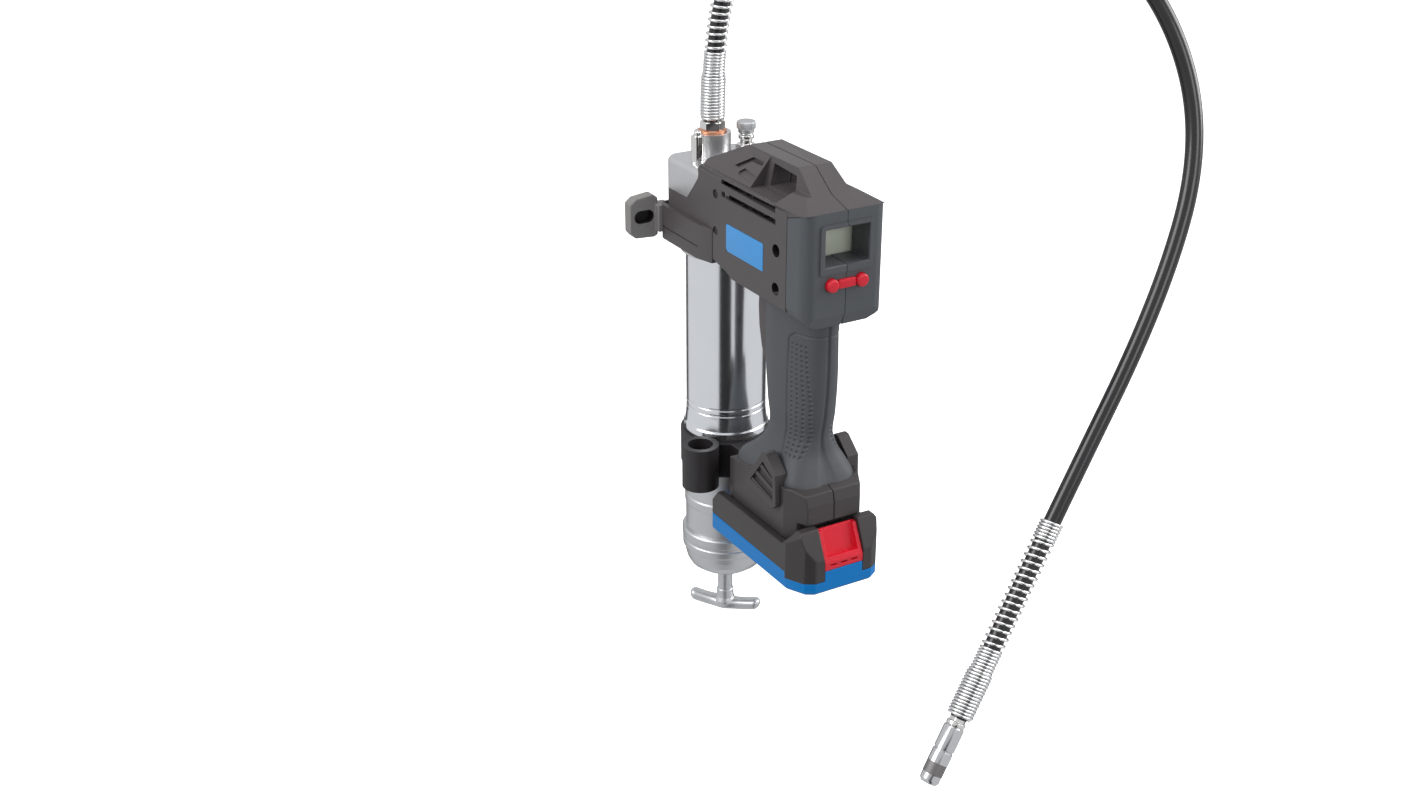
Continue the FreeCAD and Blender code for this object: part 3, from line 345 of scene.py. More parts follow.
def turned(name: str, profile: Array, finish: Finish, at: Point = (0, 0, 0),
           direction: Point = (0, 0, 1),
           around: int = 96, shape: Rule | None = None, sharp: float = CRISP_DEGREES, ring: bool = False
           ) -> bpy.types.Object:
    """A turned piece.

    Args:
        name: the piece's name.
        profile: radius and height of each point; it starts and ends on the axis, or is a ring's section.
        finish: what it is dressed in.
        at: the axis's origin.
        direction: the axis's direction.
        around: points in a turn.
        shape: changes the radius, from whole arrays of radius, angle and height.
        sharp: the angle in degrees past which an edge stays crisp.
        ring: whether the profile closes on itself.

    Returns:
        The piece.
    """
    if ring:
        profile = np.concatenate([profile, profile[:1]])
    return new_piece(name, *revolved(profile, around, at, direction, shape), finish, sharp)


def many_sided(sides: int, flats: float, low: float, high: float) -> Rule:
    """Flats for a turned piece: between two heights the radius is at most flats / 2 / cos(angle from
    a flat)."""
    def shape(radius: Array, angle: Array, height: Array) -> Array:
        """Cuts the radius down to the flats."""
        off = (angle + math.pi / sides) % (2 * math.pi / sides) - math.pi / sides
        inside = (height >= low - HAIR_MM) & (height <= high + HAIR_MM)
        return np.where(inside, np.minimum(radius, flats / 2 / np.cos(off)), radius)
    return shape


def knurled(teeth: int, depth: float, low: float, high: float) -> Rule:
    """Straight knurling for a turned piece: the radius dips by depth, teeth times a turn, between
    two heights."""
    def shape(radius: Array, angle: Array, height: Array) -> Array:
        """Lowers the radius in the knurl's valleys, but not next to the axis."""
        valley = 0.5 - 0.5 * np.cos(angle * teeth)
        inside = (height >= low - HAIR_MM) & (height <= high + HAIR_MM) & (radius > 1.0)
        return np.where(inside, radius - depth * valley, radius)
    return shape


class Plane(Enum):
    """The plane of a flat outline; the value picks X, Y and Z from its two coordinates and the level."""

    YZ = (2, 0, 1)
    XZ = (0, 2, 1)


def slab(outline: Array, plane: Plane, low: float, high: float, edge: float) -> Solid:
    """A plate with rounded rims.

    The outline is carried from low to high, and near each face it shrinks inwards along a quarter
    circle.

    Args:
        outline: the closed outline's points in its plane.
        plane: the outline's plane.
        low: one face.
        high: the other face.
        edge: the rims' radius.

    Returns:
        Its points and faces.
    """
    before, after = np.roll(outline, 1, axis=0), np.roll(outline, -1, axis=0)
    tangent = unit(after - before)
    normal = np.stack([tangent[:, 1], -tangent[:, 0]], axis=1)
    area = 0.5 * np.sum(outline[:, 0] * after[:, 1] - after[:, 0] * outline[:, 1])
    normal *= np.sign(area)
    turn = np.linspace(0, math.pi / 2, 5)
    inset = np.concatenate([edge * (1 - np.sin(turn)), edge * (1 - np.sin(turn[::-1]))])
    level = np.concatenate([low + edge * (1 - np.cos(turn)), high - edge * (1 - np.cos(turn[::-1]))])
    rings = outline[None, :, :] - inset[:, None, None] * normal[None, :, :]
    flat = np.concatenate([rings, np.repeat(level[:, None, None], len(outline), axis=1)], axis=2)
    return flat[..., plane.value].reshape(-1, 3), tube_faces(len(level), len(outline))


def joined(name: str, solids: list[Solid], finish: Finish,
           sharp: float = CRISP_DEGREES) -> bpy.types.Object:
    """One piece from several closed surfaces."""
    points, faces, start = [], [], 0
    for own_points, own_faces in solids:
        points.append(own_points)
        faces += [[i + start for i in face] for face in own_faces]
        start += len(own_points)
    return new_piece(name, np.concatenate(points), faces, finish, sharp)


def softened(node: str, name: str, finish: Finish, width: float = 0.6, angle: float = 28.0,
             gap: float = 0.0,
             cutters: Sequence[Solid] = ()) -> bpy.types.Object:
    """A moulded or cast piece: the frame's own solid, welded, with its sharp edges rounded.

    Args:
        node: the frame's node.
        name: the piece's name.
        finish: what it is dressed in.
        width: width of the rounding in millimetres.
        angle: edges that turn further than this, in degrees, are rounded.
        gap: how far the flat face on the parting plane is drawn back, in millimetres, towards +Y or -Y.
        cutters: closed shapes that are taken out of it.

    Returns:
        The piece, which stands for the node.
    """
    mesh = frame["nodes"][node].data.copy()
    mesh.name = name
    with editing(mesh) as made:
        bmesh.ops.remove_doubles(made, verts=made.verts, dist=FRAME_WELD_M)
        bmesh.ops.dissolve_limit(made, angle_limit=math.radians(FLAT_DEGREES), verts=made.verts,
                                 edges=made.edges)
    spots = np.zeros(len(mesh.vertices) * 3)
    mesh.vertices.foreach_get("co", spots)
    spots[1::3] = np.where(np.abs(spots[1::3]) < FRAME_WELD_M, gap * MM, spots[1::3])
    mesh.vertices.foreach_set("co", spots)
    piece = dressed(bpy.data.objects.new(name, mesh), finish, angle)
    if cutters:
        carved(piece, cutters)
        piece.data.set_sharp_from_angle(angle=math.radians(angle))
    weigh_edges(piece.data, width, angle)
    rounding = piece.modifiers.new("rounding", "BEVEL")
    rounding.width, rounding.segments = width * MM, ROUNDING_SEGMENTS
    rounding.limit_method, rounding.use_clamp_overlap = "WEIGHT", False
    even = piece.modifiers.new("even shading", "WEIGHTED_NORMAL")
    even.mode, even.weight, even.keep_sharp = "FACE_AREA", EVEN_WEIGHT, True
    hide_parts(node)
    return piece


def weigh_edges(mesh: bpy.types.Mesh, width: float, angle: float) -> None:
    """Marks the edges that take the rounding: sharp ones with no edge at either end too short to
    make room for it.

    Args:
        mesh: the mesh.
        width: width of the rounding in millimetres.
        angle: edges that turn further than this, in degrees, are sharp.
    """
    with editing(mesh) as made:
        weight = made.edges.layers.float.new("bevel_weight_edge")
        room = {corner: min(edge.calc_length() for edge in corner.link_edges) for corner in made.verts}
        for edge in made.edges:
            sharp = edge.calc_face_angle(0.0) > math.radians(angle)
            shortest = min(room[corner] for corner in edge.verts)
            edge[weight] = float(sharp and shortest > ROUNDING_ROOM * width * MM)


def carved(piece: bpy.types.Object, cutters: Sequence[Solid]) -> None:
    """Takes closed shapes out of a piece for good.

    Args:
        piece: the piece.
        cutters: points and faces of each shape.
    """
    helpers = []
    for points, faces in cutters:
        mesh = bpy.data.meshes.new("cutter")
        mesh.from_pydata((points * MM).tolist(), [], faces)
        with editing(mesh) as made:
            bmesh.ops.recalc_face_normals(made, faces=made.faces)
        helper = bpy.data.objects.new("cutter", mesh)
        bpy.context.scene.collection.objects.link(helper)
        cut = piece.modifiers.new("cut", "BOOLEAN")
        cut.operation, cut.object, cut.solver = "DIFFERENCE", helper, "EXACT"
        helpers.append(helper)
    bpy.context.view_layer.update()
    final = bpy.data.meshes.new_from_object(piece.evaluated_get(bpy.context.evaluated_depsgraph_get()))
    piece.modifiers.clear()
    piece.data = final
    for helper in helpers:
        bpy.data.objects.remove(helper)


def repainted(piece: bpy.types.Object, finish: Finish, chosen: Rule) -> None:
    """Gives some faces of a piece a second finish.

    Args:
        piece: the piece.
        finish: the second finish.
        chosen: says from the faces' middles, X, Y and Z in millimetres, which faces take it.
    """
    mesh = piece.data
    mesh.materials.append(finish.material())
    middles = np.zeros(len(mesh.polygons) * 3)
    mesh.polygons.foreach_get("center", middles)
    x, y, z = (middles.reshape(-1, 3) / MM).T
    mesh.polygons.foreach_set("material_index", chosen(x, y, z).astype(np.int32))


def fitted(piece: bpy.types.Object, slot: str, *nodes: str, body: str = "housing") -> bpy.types.Object:
    """Puts a piece on its body, hides the nodes it stands for, and reports it."""
    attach(piece, body)
    if nodes:
        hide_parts(*nodes)
    LOG.info("%s rides on %s", piece.name, body)
    return piece


# -------- studio
@dataclass
class Studio:
    """White sweep, soft lights, dark curtains and the camera."""

    place: Point = (0.97766, -0.57769, 0.49254)
    tilt: float = 65.4
    turn: float = 60.0
    lens: float = 44.163
    sensor: float = 36.0
    clip: tuple[float, float] = (0.05, 50.0)
    lights: tuple[tuple[str, Point, float, float], ...] = (
        ("key", (-0.2, -2.0, 1.3), 1.4, 28.0), ("top", (0.3, 0.1, 2.2), 1.6, 15.0),
        ("side", (0.8, 2.0, 0.9), 1.4, 32.0), ("front", (2.3, 0.3, 0.9), 0.9, 8.0))
    floor_height: float = -0.42
    floor_reach: float = 12000.0
    floor_glow: float = 0.9
    flags: tuple[Point, ...] = ((-50.0, -17.0, 0.03), (96.0, 128.0, 0.12), (174.0, 192.0, 0.08))
    flag_reach: float = 1600.0
    flag_heights: tuple[float, float] = (-2600.0, 260.0)
    flag_columns: int = 12
    sky: tuple[float, ...] = (0.97, 0.98, 1.0, 1)
    sky_fill: float = 0.42
    sky_rays: tuple[tuple[str, float], ...] = (("Is Glossy Ray", 0.70), ("Is Camera Ray", 1.0))

    def build(self) -> None:
        """Makes the camera, the lights, the floor and the world."""
        scene = bpy.context.scene
        camera = bpy.data.cameras.new("camera")
        camera.lens, camera.sensor_width = self.lens, self.sensor
        camera.clip_start, camera.clip_end = self.clip
        holder = bpy.data.objects.new("camera", camera)
        holder.location = self.place
        holder.rotation_euler = (math.radians(self.tilt), 0.0, math.radians(self.turn))
        scene.collection.objects.link(holder)
        scene.camera = holder
        scene.view_settings.view_transform = "Standard"
        for light in self.lights:
            self._light(*light)
        self._floor()
        for low, high, grey in self.flags:
            self._flag(low, high, grey)
        self._world()

    @staticmethod
    def _light(name: str, place: Point, size: float, power: float) -> None:
        """One square soft light that looks at the origin."""
        light = bpy.data.lights.new(name, "AREA")
        light.size, light.energy = size, power
        lamp = bpy.data.objects.new(name, light)
        back = unit(np.array(place))
        aside = unit(np.cross((0, 0, 1.0), back))
        turn = np.eye(4)
        turn[:3] = np.stack([aside, np.cross(back, aside), back, place], axis=1)
        lamp.matrix_world = Matrix(turn.tolist())
        bpy.context.scene.collection.objects.link(lamp)

    def _floor(self) -> None:
        """A wide pale floor."""
        across = np.linspace(-self.floor_reach, self.floor_reach, 3)
        x, y = np.meshgrid(across, across, indexing="ij")
        points = np.stack([x, y, 0 * x + self.floor_height / MM], axis=-1).reshape(-1, 3)
        pale = Finish("pale floor", (0.93, 0.93, 0.93), 0.9, relief_mm=0.0, mottle=0.0)
        floor = new_piece("floor", points, grid_faces(3, 3, False).tolist(), pale)
        tree = floor.data.materials[0].node_tree
        feed(tree, tree.nodes["Principled BSDF"], {
            "Emission Color": (1, 1, 1, 1), "Emission Strength": self.floor_glow})
        floor.visible_glossy = floor.visible_diffuse = False

    def _flag(self, low: float, high: float, grey: float) -> None:
        """A dark curtain that only shows in polished metal.

        It stands on a circle round the object, between two bearings, and runs from above it to far
        below it.

        Args:
            low: bearing of one side in degrees, from +X towards +Y.
            high: bearing of the other side.
            grey: how light the curtain is.
        """
        bearing = np.radians(np.linspace(low, high, self.flag_columns))
        b, z = np.meshgrid(bearing, np.array(self.flag_heights), indexing="ij")
        points = np.stack([self.flag_reach * np.cos(b), self.flag_reach * np.sin(b), z],
                          axis=-1).reshape(-1, 3)
        cloth = Finish(f"curtain {grey:.2f}", (grey,) * 3, 0.9, relief_mm=0.0, mottle=0.0)
        curtain = new_piece(f"curtain_{low:.0f}", points, grid_faces(*b.shape, False).tolist(), cloth)
        curtain.visible_camera = curtain.visible_diffuse = curtain.visible_shadow = False

    def _world(self) -> None:
        """An even white surrounding, brighter in polished metal than as a light."""
        world = bpy.data.worlds.new("studio")
        bpy.context.scene.world = world
        world.use_nodes = True
        tree = world.node_tree
        rays = tree.nodes.new("ShaderNodeLightPath")
        level: bpy.types.NodeSocket | float = self.sky_fill
        for ray, strength in self.sky_rays:
            power = feed(tree, tree.nodes.new("ShaderNodeMix"), {
                "Factor": rays.outputs[ray], "A": level, "B": strength})
            level = power.outputs["Result"]
        feed(tree, tree.nodes["Background"], {"Color": self.sky, "Strength": level})


# -------- hose
@dataclass
class WhipHose:
    """The whip hose with its coil guards, ferrule and coupler."""

    diameter: float = 11.0
    length: float = 900.0
    route: list[Point] = field(default_factory=lambda: [
        (-19.5, 0.0, 173.0), (-19.5, 0.0, 232.0), (-8.0, 13.0, 292.0), (33.0, 52.0, 331.0),
        (90.0, 105.0, 344.0), (148.0, 157.0, 325.0), (199.0, 194.0, 270.0), (231.0, 203.0, 192.0),
        (249.5, 163.0, 102.0), (265.0, 80.0, -17.0), (281.0, 1.0, -132.0)])
    wire: float = 0.97
    wire_points: int = 8
    turn_points: int = 26
    tight_turns: int = 22
    open_turns: int = 16
    close_turns: int = 6
    tight_pitch: float = 2.1
    open_pitch: float = 4.6
    first: float = 1.0
    taper: tuple[tuple[float, float], ...] = (
        (0.0, 6.65), (1.6, 7.05), (3.0, 7.55), (29.5, 7.55), (33.0, 6.55))
    matte_band: tuple[float, float] = (31.0, 37.7)
    line: Array = field(default_factory=lambda: np.zeros((0, 3)))

    def curve(self) -> bpy.types.Curve:
        """The hose's line: a NURBS spline of order 3 with the route as its control points."""
        data = bpy.data.curves.new("whip_hose", "CURVE")
        data.dimensions = "3D"
        spline = data.splines.new("NURBS")
        spline.points.add(len(self.route) - 1)
        points = np.array(self.route) * MM
        spline.points.foreach_set("co", np.c_[points, np.ones(len(points))].ravel())
        spline.order_u = 3
        spline.use_endpoint_u = True
        data.resolution_u = 24
        return data

    def build(self) -> None:
        data = self.curve()
        hose = bpy.data.objects.new("whip_hose", data)
        bpy.context.scene.collection.objects.link(hose)
        bare = bpy.data.meshes.new_from_object(hose)
        self.line = np.zeros(len(bare.vertices) * 3)
        bare.vertices.foreach_get("co", self.line)
        self.line = self.line.reshape(-1, 3) / MM
        data.bevel_depth = self.diameter / 2 * MM
        data.bevel_resolution = 8
        data.use_fill_caps = True
        data.materials.append(HOSE_RUBBER.material())
        fitted(hose, "hose_rubber", "hose")
        upper = self.coil("upper_spring_guard", self.line)
        lower = self.coil("lower_spring_guard", self.line[::-1])
        fitted(upper, "spring_steel", "upper_guard")
        fitted(lower, "spring_steel", "lower_guard")
        ends = self.coupler()

    def coil(self, name: str, line: Array) -> bpy.types.Object:
        """A guard wound round the hose from its end inwards.

        The wire's centre at turn t is the point of the hose's line at distance s(t) plus radius(t)
        times a unit
        vector that goes round the line once a turn; the wire's section is a circle about that centre.

        Args:
            name: the piece's name.
            line: the hose's line, starting at the guarded end.

        Returns:
            The guard.
        """
        turns = self.tight_turns + self.open_turns + self.close_turns
        t = np.linspace(0, turns, turns * self.turn_points + 1)
        spread = (t > self.tight_turns) & (t < self.tight_turns + self.open_turns)
        pitch = np.where(spread, self.open_pitch, self.tight_pitch)
        climb = np.cumsum(0.5 * (pitch[1:] + pitch[:-1]) * np.diff(t))
        travel = self.first + np.concatenate([[0], climb])
        radius = np.interp(travel, *zip(*self.taper))
        step = np.linalg.norm(np.diff(line, axis=0), axis=1)
        distance = np.concatenate([[0], np.cumsum(step)])
        centre = np.stack([np.interp(travel, distance, line[:, i]) for i in range(3)], axis=1)
        ahead = unit(np.gradient(centre, axis=0))
        side = unit(np.cross(ahead, np.array([0.8, -0.6, 0.0])))
        turn = 2 * math.pi * t[:, None]
        outward = np.cos(turn) * side + np.sin(turn) * np.cross(ahead, side)
        centre = centre + radius[:, None] * outward
        across = np.cross(unit(np.gradient(centre, axis=0)), outward)
        q = full_turn(self.wire_points)[None, :, None]
        ring = np.cos(q) * outward[:, None, :] + np.sin(q) * across[:, None, :]
        return swept(name, centre[:, None, :] + self.wire * ring, SPRING_WIRE)

    def coupler(self) -> list[bpy.types.Object]:
        """The ferrule, the coupler's body and nose, and the jaws in its mouth."""
        end, before = np.array(self.route[-1]), np.array(self.route[-2])
        _, _, along = basis(end - before)
        spot = {"at": tuple(end), "direction": tuple(along)}
        ferrule = turned("hose_end_ferrule", filleted([
            (0, -3.0, 0), (5.3, -3.0, 0), (5.3, 2.2, 0.3), (6.1, 2.6, 0.4), (6.1, 5.0, 0.3),
            (4.4, 5.05, 0),
            (4.4, 16.0, 0), (0, 16.0, 0)]), NICKEL, shape=many_sided(6, 9.6, -3.0, 2.2), **spot)
        body = turned("coupler_barrel", filleted([
            (4.42, 5.0, 0), (5.4, 5.0, 0.3), (6.6, 6.2, 0.3), (6.6, 20.8, 0.2), (6.0, 21.1, 0.1),
            (6.0, 22.0, 0.1),
            (6.6, 22.3, 0.2), (6.6, 30.0, 0), (4.42, 30.0, 0)], True), COUPLER,
            shape=many_sided(4, 12.2, 5.0, 12.0), ring=True, **spot)
        nose = turned("coupler_tip", filleted([
            (3.6, 30.0, 0), (6.5, 30.0, 0), (6.5, 37.6, 0.2), (6.3, 37.9, 0.1), (6.3, 42.0, 1.4),
            (4.8, 44.0, 0.6),
            (3.6, 44.0, 0.3)], True), MATTE_BAND, ring=True, **spot)

        def bright(x: Array, y: Array, z: Array) -> Array:
            """Whether a face lies past or before the matte band."""
            height = np.stack([x, y, z], axis=-1) @ along - end @ along
            return (height > self.matte_band[1]) | (height < self.matte_band[0])

        repainted(nose, COUPLER, bright)
        jaws = turned("coupler_gripping_jaws", filleted([
            (2.2, 20.0, 0), (4.4, 20.0, 0), (4.4, 30.0, 0.3), (2.8, 30.0, 0.3)], True), MACHINED,
            shape=knurled(3, 0.5, 20.0, 30.0), ring=True, **spot)
        return [fitted(piece, slot, node) for piece, slot, node in (
            (ferrule, "nickel", "hose_ferrule"), (body, "coupler_steel", "coupler_body"),
            (nose, "nose_steel", "coupler_nose"), (jaws, "seal_rubber", "coupler_jaws"))]


# -------- pump head
@dataclass
class PumpHead:
    """The casting on top of the barrel with its outlet, vent and filler fittings."""

    top: float = 150.5
    boss_top: float = 165.3
    washer_top: float = 166.9
    hexagon_top: float = 173.0
    vent_top: float = 168.5
    outlet: tuple[float, float] = (-19.5, 0.0)
    vent: tuple[float, float] = (-5.0, -20.0)
    filler: tuple[float, float] = (-10.0, 21.0)

    def build(self) -> None:
        """Makes the casting and its fittings."""
        fitted(softened("pump_head", "head_casting", CASTING, 0.7), "casting")
        washer = turned("copper_washer", filleted([
            (5.2, self.boss_top, 0), (9.8, self.boss_top, 0.4), (9.8, self.washer_top, 0.4),
            (5.2, self.washer_top, 0)], True), COPPER, at=(*self.outlet, 0.0), ring=True)
        fitted(washer, "copper", "outlet_washer")
        low, high = self.washer_top, self.hexagon_top
        nut = turned("hose_hexagon", filleted([
            (0, low - 6, 0), (5.0, low - 6, 0), (5.0, low, 0), (7.6, low, 0.2), (8.66, low + 0.6, 0.1),
            (8.66, high - 0.7, 0.1), (7.5, high, 0.2), (0, high, 0)]), NICKEL, at=(*self.outlet, 0.0),
            shape=many_sided(6, 15.0, low, high), around=144, sharp=25.0)
        fitted(nut, "nickel", "hose_fitting")
        self._vent()
        self._filler()

    def _vent(self) -> None:
        """The vent valve's chrome body and its plunger's button."""
        fitted(softened("vent_valve_body", "vent_valve_case", NICKEL, 0.5), "nickel")
        high = self.vent_top
        button = turned("vent_valve_button", filleted([
            (0, high - 6.0, 0), (2.55, high - 6.0, 0.2), (2.55, high + 3.4, 1.2), (0, high + 3.4, 0)]),
            NICKEL,
            at=(*self.vent, 0.0))
        fitted(button, "nickel", "vent_valve_plunger", body="vent_plunger")

    def _filler(self) -> None:
        """The filler coupling's hexagon, waist and ring, and its knurled cap."""
        at = (*self.filler, 0.0)
        z = self.top
        stem = turned("filler_stem", filleted([
            (0, z - 8, 0), (4.0, z - 8, 0), (4.0, z, 0), (6.4, z, 0.2), (7.2, z + 0.6, 0.2),
            (7.2, z + 4.9, 0.2),
            (6.2, z + 5.5, 0.3), (4.2, z + 5.5, 0.8), (4.2, z + 8.6, 0.4), (5.4, z + 9.4, 0.6),
            (5.4, z + 11.6, 0.6), (4.2, z + 12.6, 0.6), (4.2, z + 16.0, 0), (0, z + 16.0, 0)]), NICKEL,
            at=at,
            shape=many_sided(6, 12.47, z, z + 5.5), around=144, sharp=28.0)
        fitted(stem, "nickel", "filler_coupling")
        cap = turned("filler_cap_knurled", filleted([
            (4.22, z + 13.5, 0), (5.6, z + 13.5, 0.3), (5.6, z + 16.0, 0.4), (6.7, z + 16.6, 0.4),
            (6.7, z + 21.0, 0.9), (5.6, z + 21.5, 0.6), (0, z + 21.1, 0), (0, z + 16.0, 0),
            (4.22, z + 16.0, 0)],
            True), DULL_ZINC, at=at, shape=knurled(30, 0.35, z + 16.5, z + 20.9), around=240, ring=True,
            sharp=50.0)
        fitted(cap, "filler_zinc", "filler_cap")


# -------- barrel
@dataclass
class Barrel:
    """Barrel tube, end cap, pull rod and its handle."""

    radius: float = 28.5
    lower: float = 29.2
    bore: float = 27.0
    foot: float = -138.0
    top: float = 104.0
    spring_low: float = -135.0
    spring_high: float = 50.0
    spring_radius: float = 23.5
    spring_wire: float = 1.05
    spring_turns: int = 11
    spring_clear: float = 0.05
    follower_stroke: float = 160.0

    def spring(self) -> bpy.types.Object:
        """The follower's spring.

        The wire's centre goes round a circle while it climbs evenly, and its section is a circle
        about that centre.

        Returns:
            The spring, on the follower's body.
        """
        t = np.linspace(0, 2 * math.pi * self.spring_turns, self.spring_turns * 36 + 1)
        q = full_turn(8)
        inside = self.spring_wire + self.spring_clear
        climb = np.linspace(self.spring_low + inside, self.spring_high - inside, len(t))
        out = self.spring_radius + self.spring_wire * np.cos(q)[None, :]
        z = climb[:, None] + self.spring_wire * np.sin(q)[None, :]
        grid = np.stack([out * np.cos(t)[:, None], out * np.sin(t)[:, None], z], axis=-1)
        piece = fitted(swept("follower_coil_spring", grid, SPRING_WIRE), "spring_steel",
                       "follower_spring",
                       body="follower")
        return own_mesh(piece)

    def build(self) -> None:
        """Makes the turned pieces, the spring and the pull handle."""
        self.spring()
        r, low = self.radius, self.lower
        grooves = [(r, 104.0, 0), (r, -22.0, 0)]
        for z in (-22.6, -27.2):
            grooves += [(r, z, 0.4), (r - 0.3, z - 0.6, 0.4), (r - 0.3, z - 1.5, 0.4), (r, z - 2.1, 0.4)]
        profile = grooves + [
            (r, -31.0, 3.0), (r + 0.9, -40.6, 2.0), (30.3, -41.6, 0.6), (30.3, -46.0, 1.0),
            (low, -47.0, 0.4),
            (low, -68.0, 0), (low - 0.3, -68.6, 0.2), (low - 0.3, -69.4, 0.2), (low, -70.0, 0),
            (low, -99.2, 0.8),
            (low + 0.7, -100.5, 0.8), (low + 0.7, -105.5, 0.8), (low, -106.9, 0.8), (low, self.foot, 0),
            (self.bore, self.foot, 0), (self.bore, self.top, 0)]
        tube = turned("barrel", filleted(profile, True), BRIGHT_STEEL, around=160, ring=True)
        repainted(tube, DULL_ZINC, lambda x, y, z: z < -46.5)
        fitted(tube, "barrel_steel", "barrel_tube")
        cap = turned("barrel_end_cap", filleted([
            (29.22, -127.0, 0), (30.9, -127.0, 0.7), (31.9, -128.2, 0.9), (31.9, -133.6, 0.9),
            (30.9, -134.6, 0.6),
            (30.9, -136.4, 0.6), (31.5, -137.2, 0.6), (31.5, -141.6, 0.8), (30.2, -142.8, 0.6),
            (29.7, -147.0, 3.0),
            (28.4, -152.2, 2.0), (26.2, -156.2, 2.0), (20.0, -160.8, 8.0),
            (11.0, -165.0, 3.0), (9.2, -167.0, 0.6), (8.5, -167.0, 0), (8.5, -158.5, 0),
            (19.0, -157.0, 0),
            (25.0, -152.0, 0), (26.5, -147.0, 0), (26.9, -138.0, 0), (29.22, -138.0, 0)], True),
            DULL_ZINC,
            around=160, ring=True)
        fitted(cap, "cap_zinc", "end_cap")
        rod = turned("pull_rod_bar", filleted([
            (0, -184.0, 0), (5.5, -184.0, 0), (5.5, 72.0, 0.6), (0, 72.0, 0)]), DULL_ZINC)
        fitted(rod, "rod_steel", "follower_rod", body="pull_rod")
        fitted(self.handle(), "cap_zinc", "t_handle", body="pull_rod")

    @staticmethod
    def handle() -> bpy.types.Object:
        """The cast pull handle.

        The bar's section is an ellipse, wider near the stem and closing like a hemisphere at each
        tip, carried
        along an arc that rises towards the tips; two dimples lie in its top near each tip.  The stem
        is a turned
        flare that grows out of the bar.
        """
        half, low, sag, turn = 27.4, -200.0, 3.6, math.radians(42.0)
        tip, tall, narrow, swell, stem_reach, squareness = 4.4, 4.3, 5.1, 1.9, 6.5, 0.8
        dimples, dimple_spread, dimple_depth = (-19.0, -12.5, 12.5, 19.0), 2.4, 0.9
        u = half * np.sin(np.linspace(-math.pi / 2, math.pi / 2, 97))
        q = full_turn(40)
        closing = np.sqrt(np.clip(1 - (np.clip(np.abs(u) - (half - tip), 0, None) / tip) ** 2, 0, 1))
        wide = (narrow + swell * np.exp(-(u / stem_reach) ** 2)) * closing
        rise = low + tip + sag * (u / half) ** 2
        side = np.sign(np.cos(q)) * np.abs(np.cos(q)) ** squareness
        lift = np.sign(np.sin(q)) * np.abs(np.sin(q)) ** squareness
        y = wide[:, None] * side[None, :]
        z = rise[:, None] + tall * closing[:, None] * lift[None, :]
        for middle in dimples:
            near = ((u[:, None] - middle) ** 2 + y ** 2) / dimple_spread
            z -= np.where(lift[None, :] > 0, dimple_depth * np.exp(-near), 0.0)
        x = np.repeat(u[:, None], len(q), axis=1)
        bar = np.stack([x * math.cos(turn) - y * math.sin(turn), x * math.sin(turn) + y * math.cos(turn),
                        z], axis=-1)
        faces = grid_faces(len(u), len(q), True).tolist()
        stem_profile = filleted([
            (0, -199.0, 0), (5.0, -199.0, 0), (8.2, -193.6, 3.0), (6.5, -189.6, 2.5), (6.2, -183.2, 0.8),
            (5.4, -182.6, 0.2), (0, -182.6, 0)])
        return joined("pull_handle", [(bar.reshape(-1, 3), faces), revolved(stem_profile, 48)],
                      DULL_ZINC, 50.0)


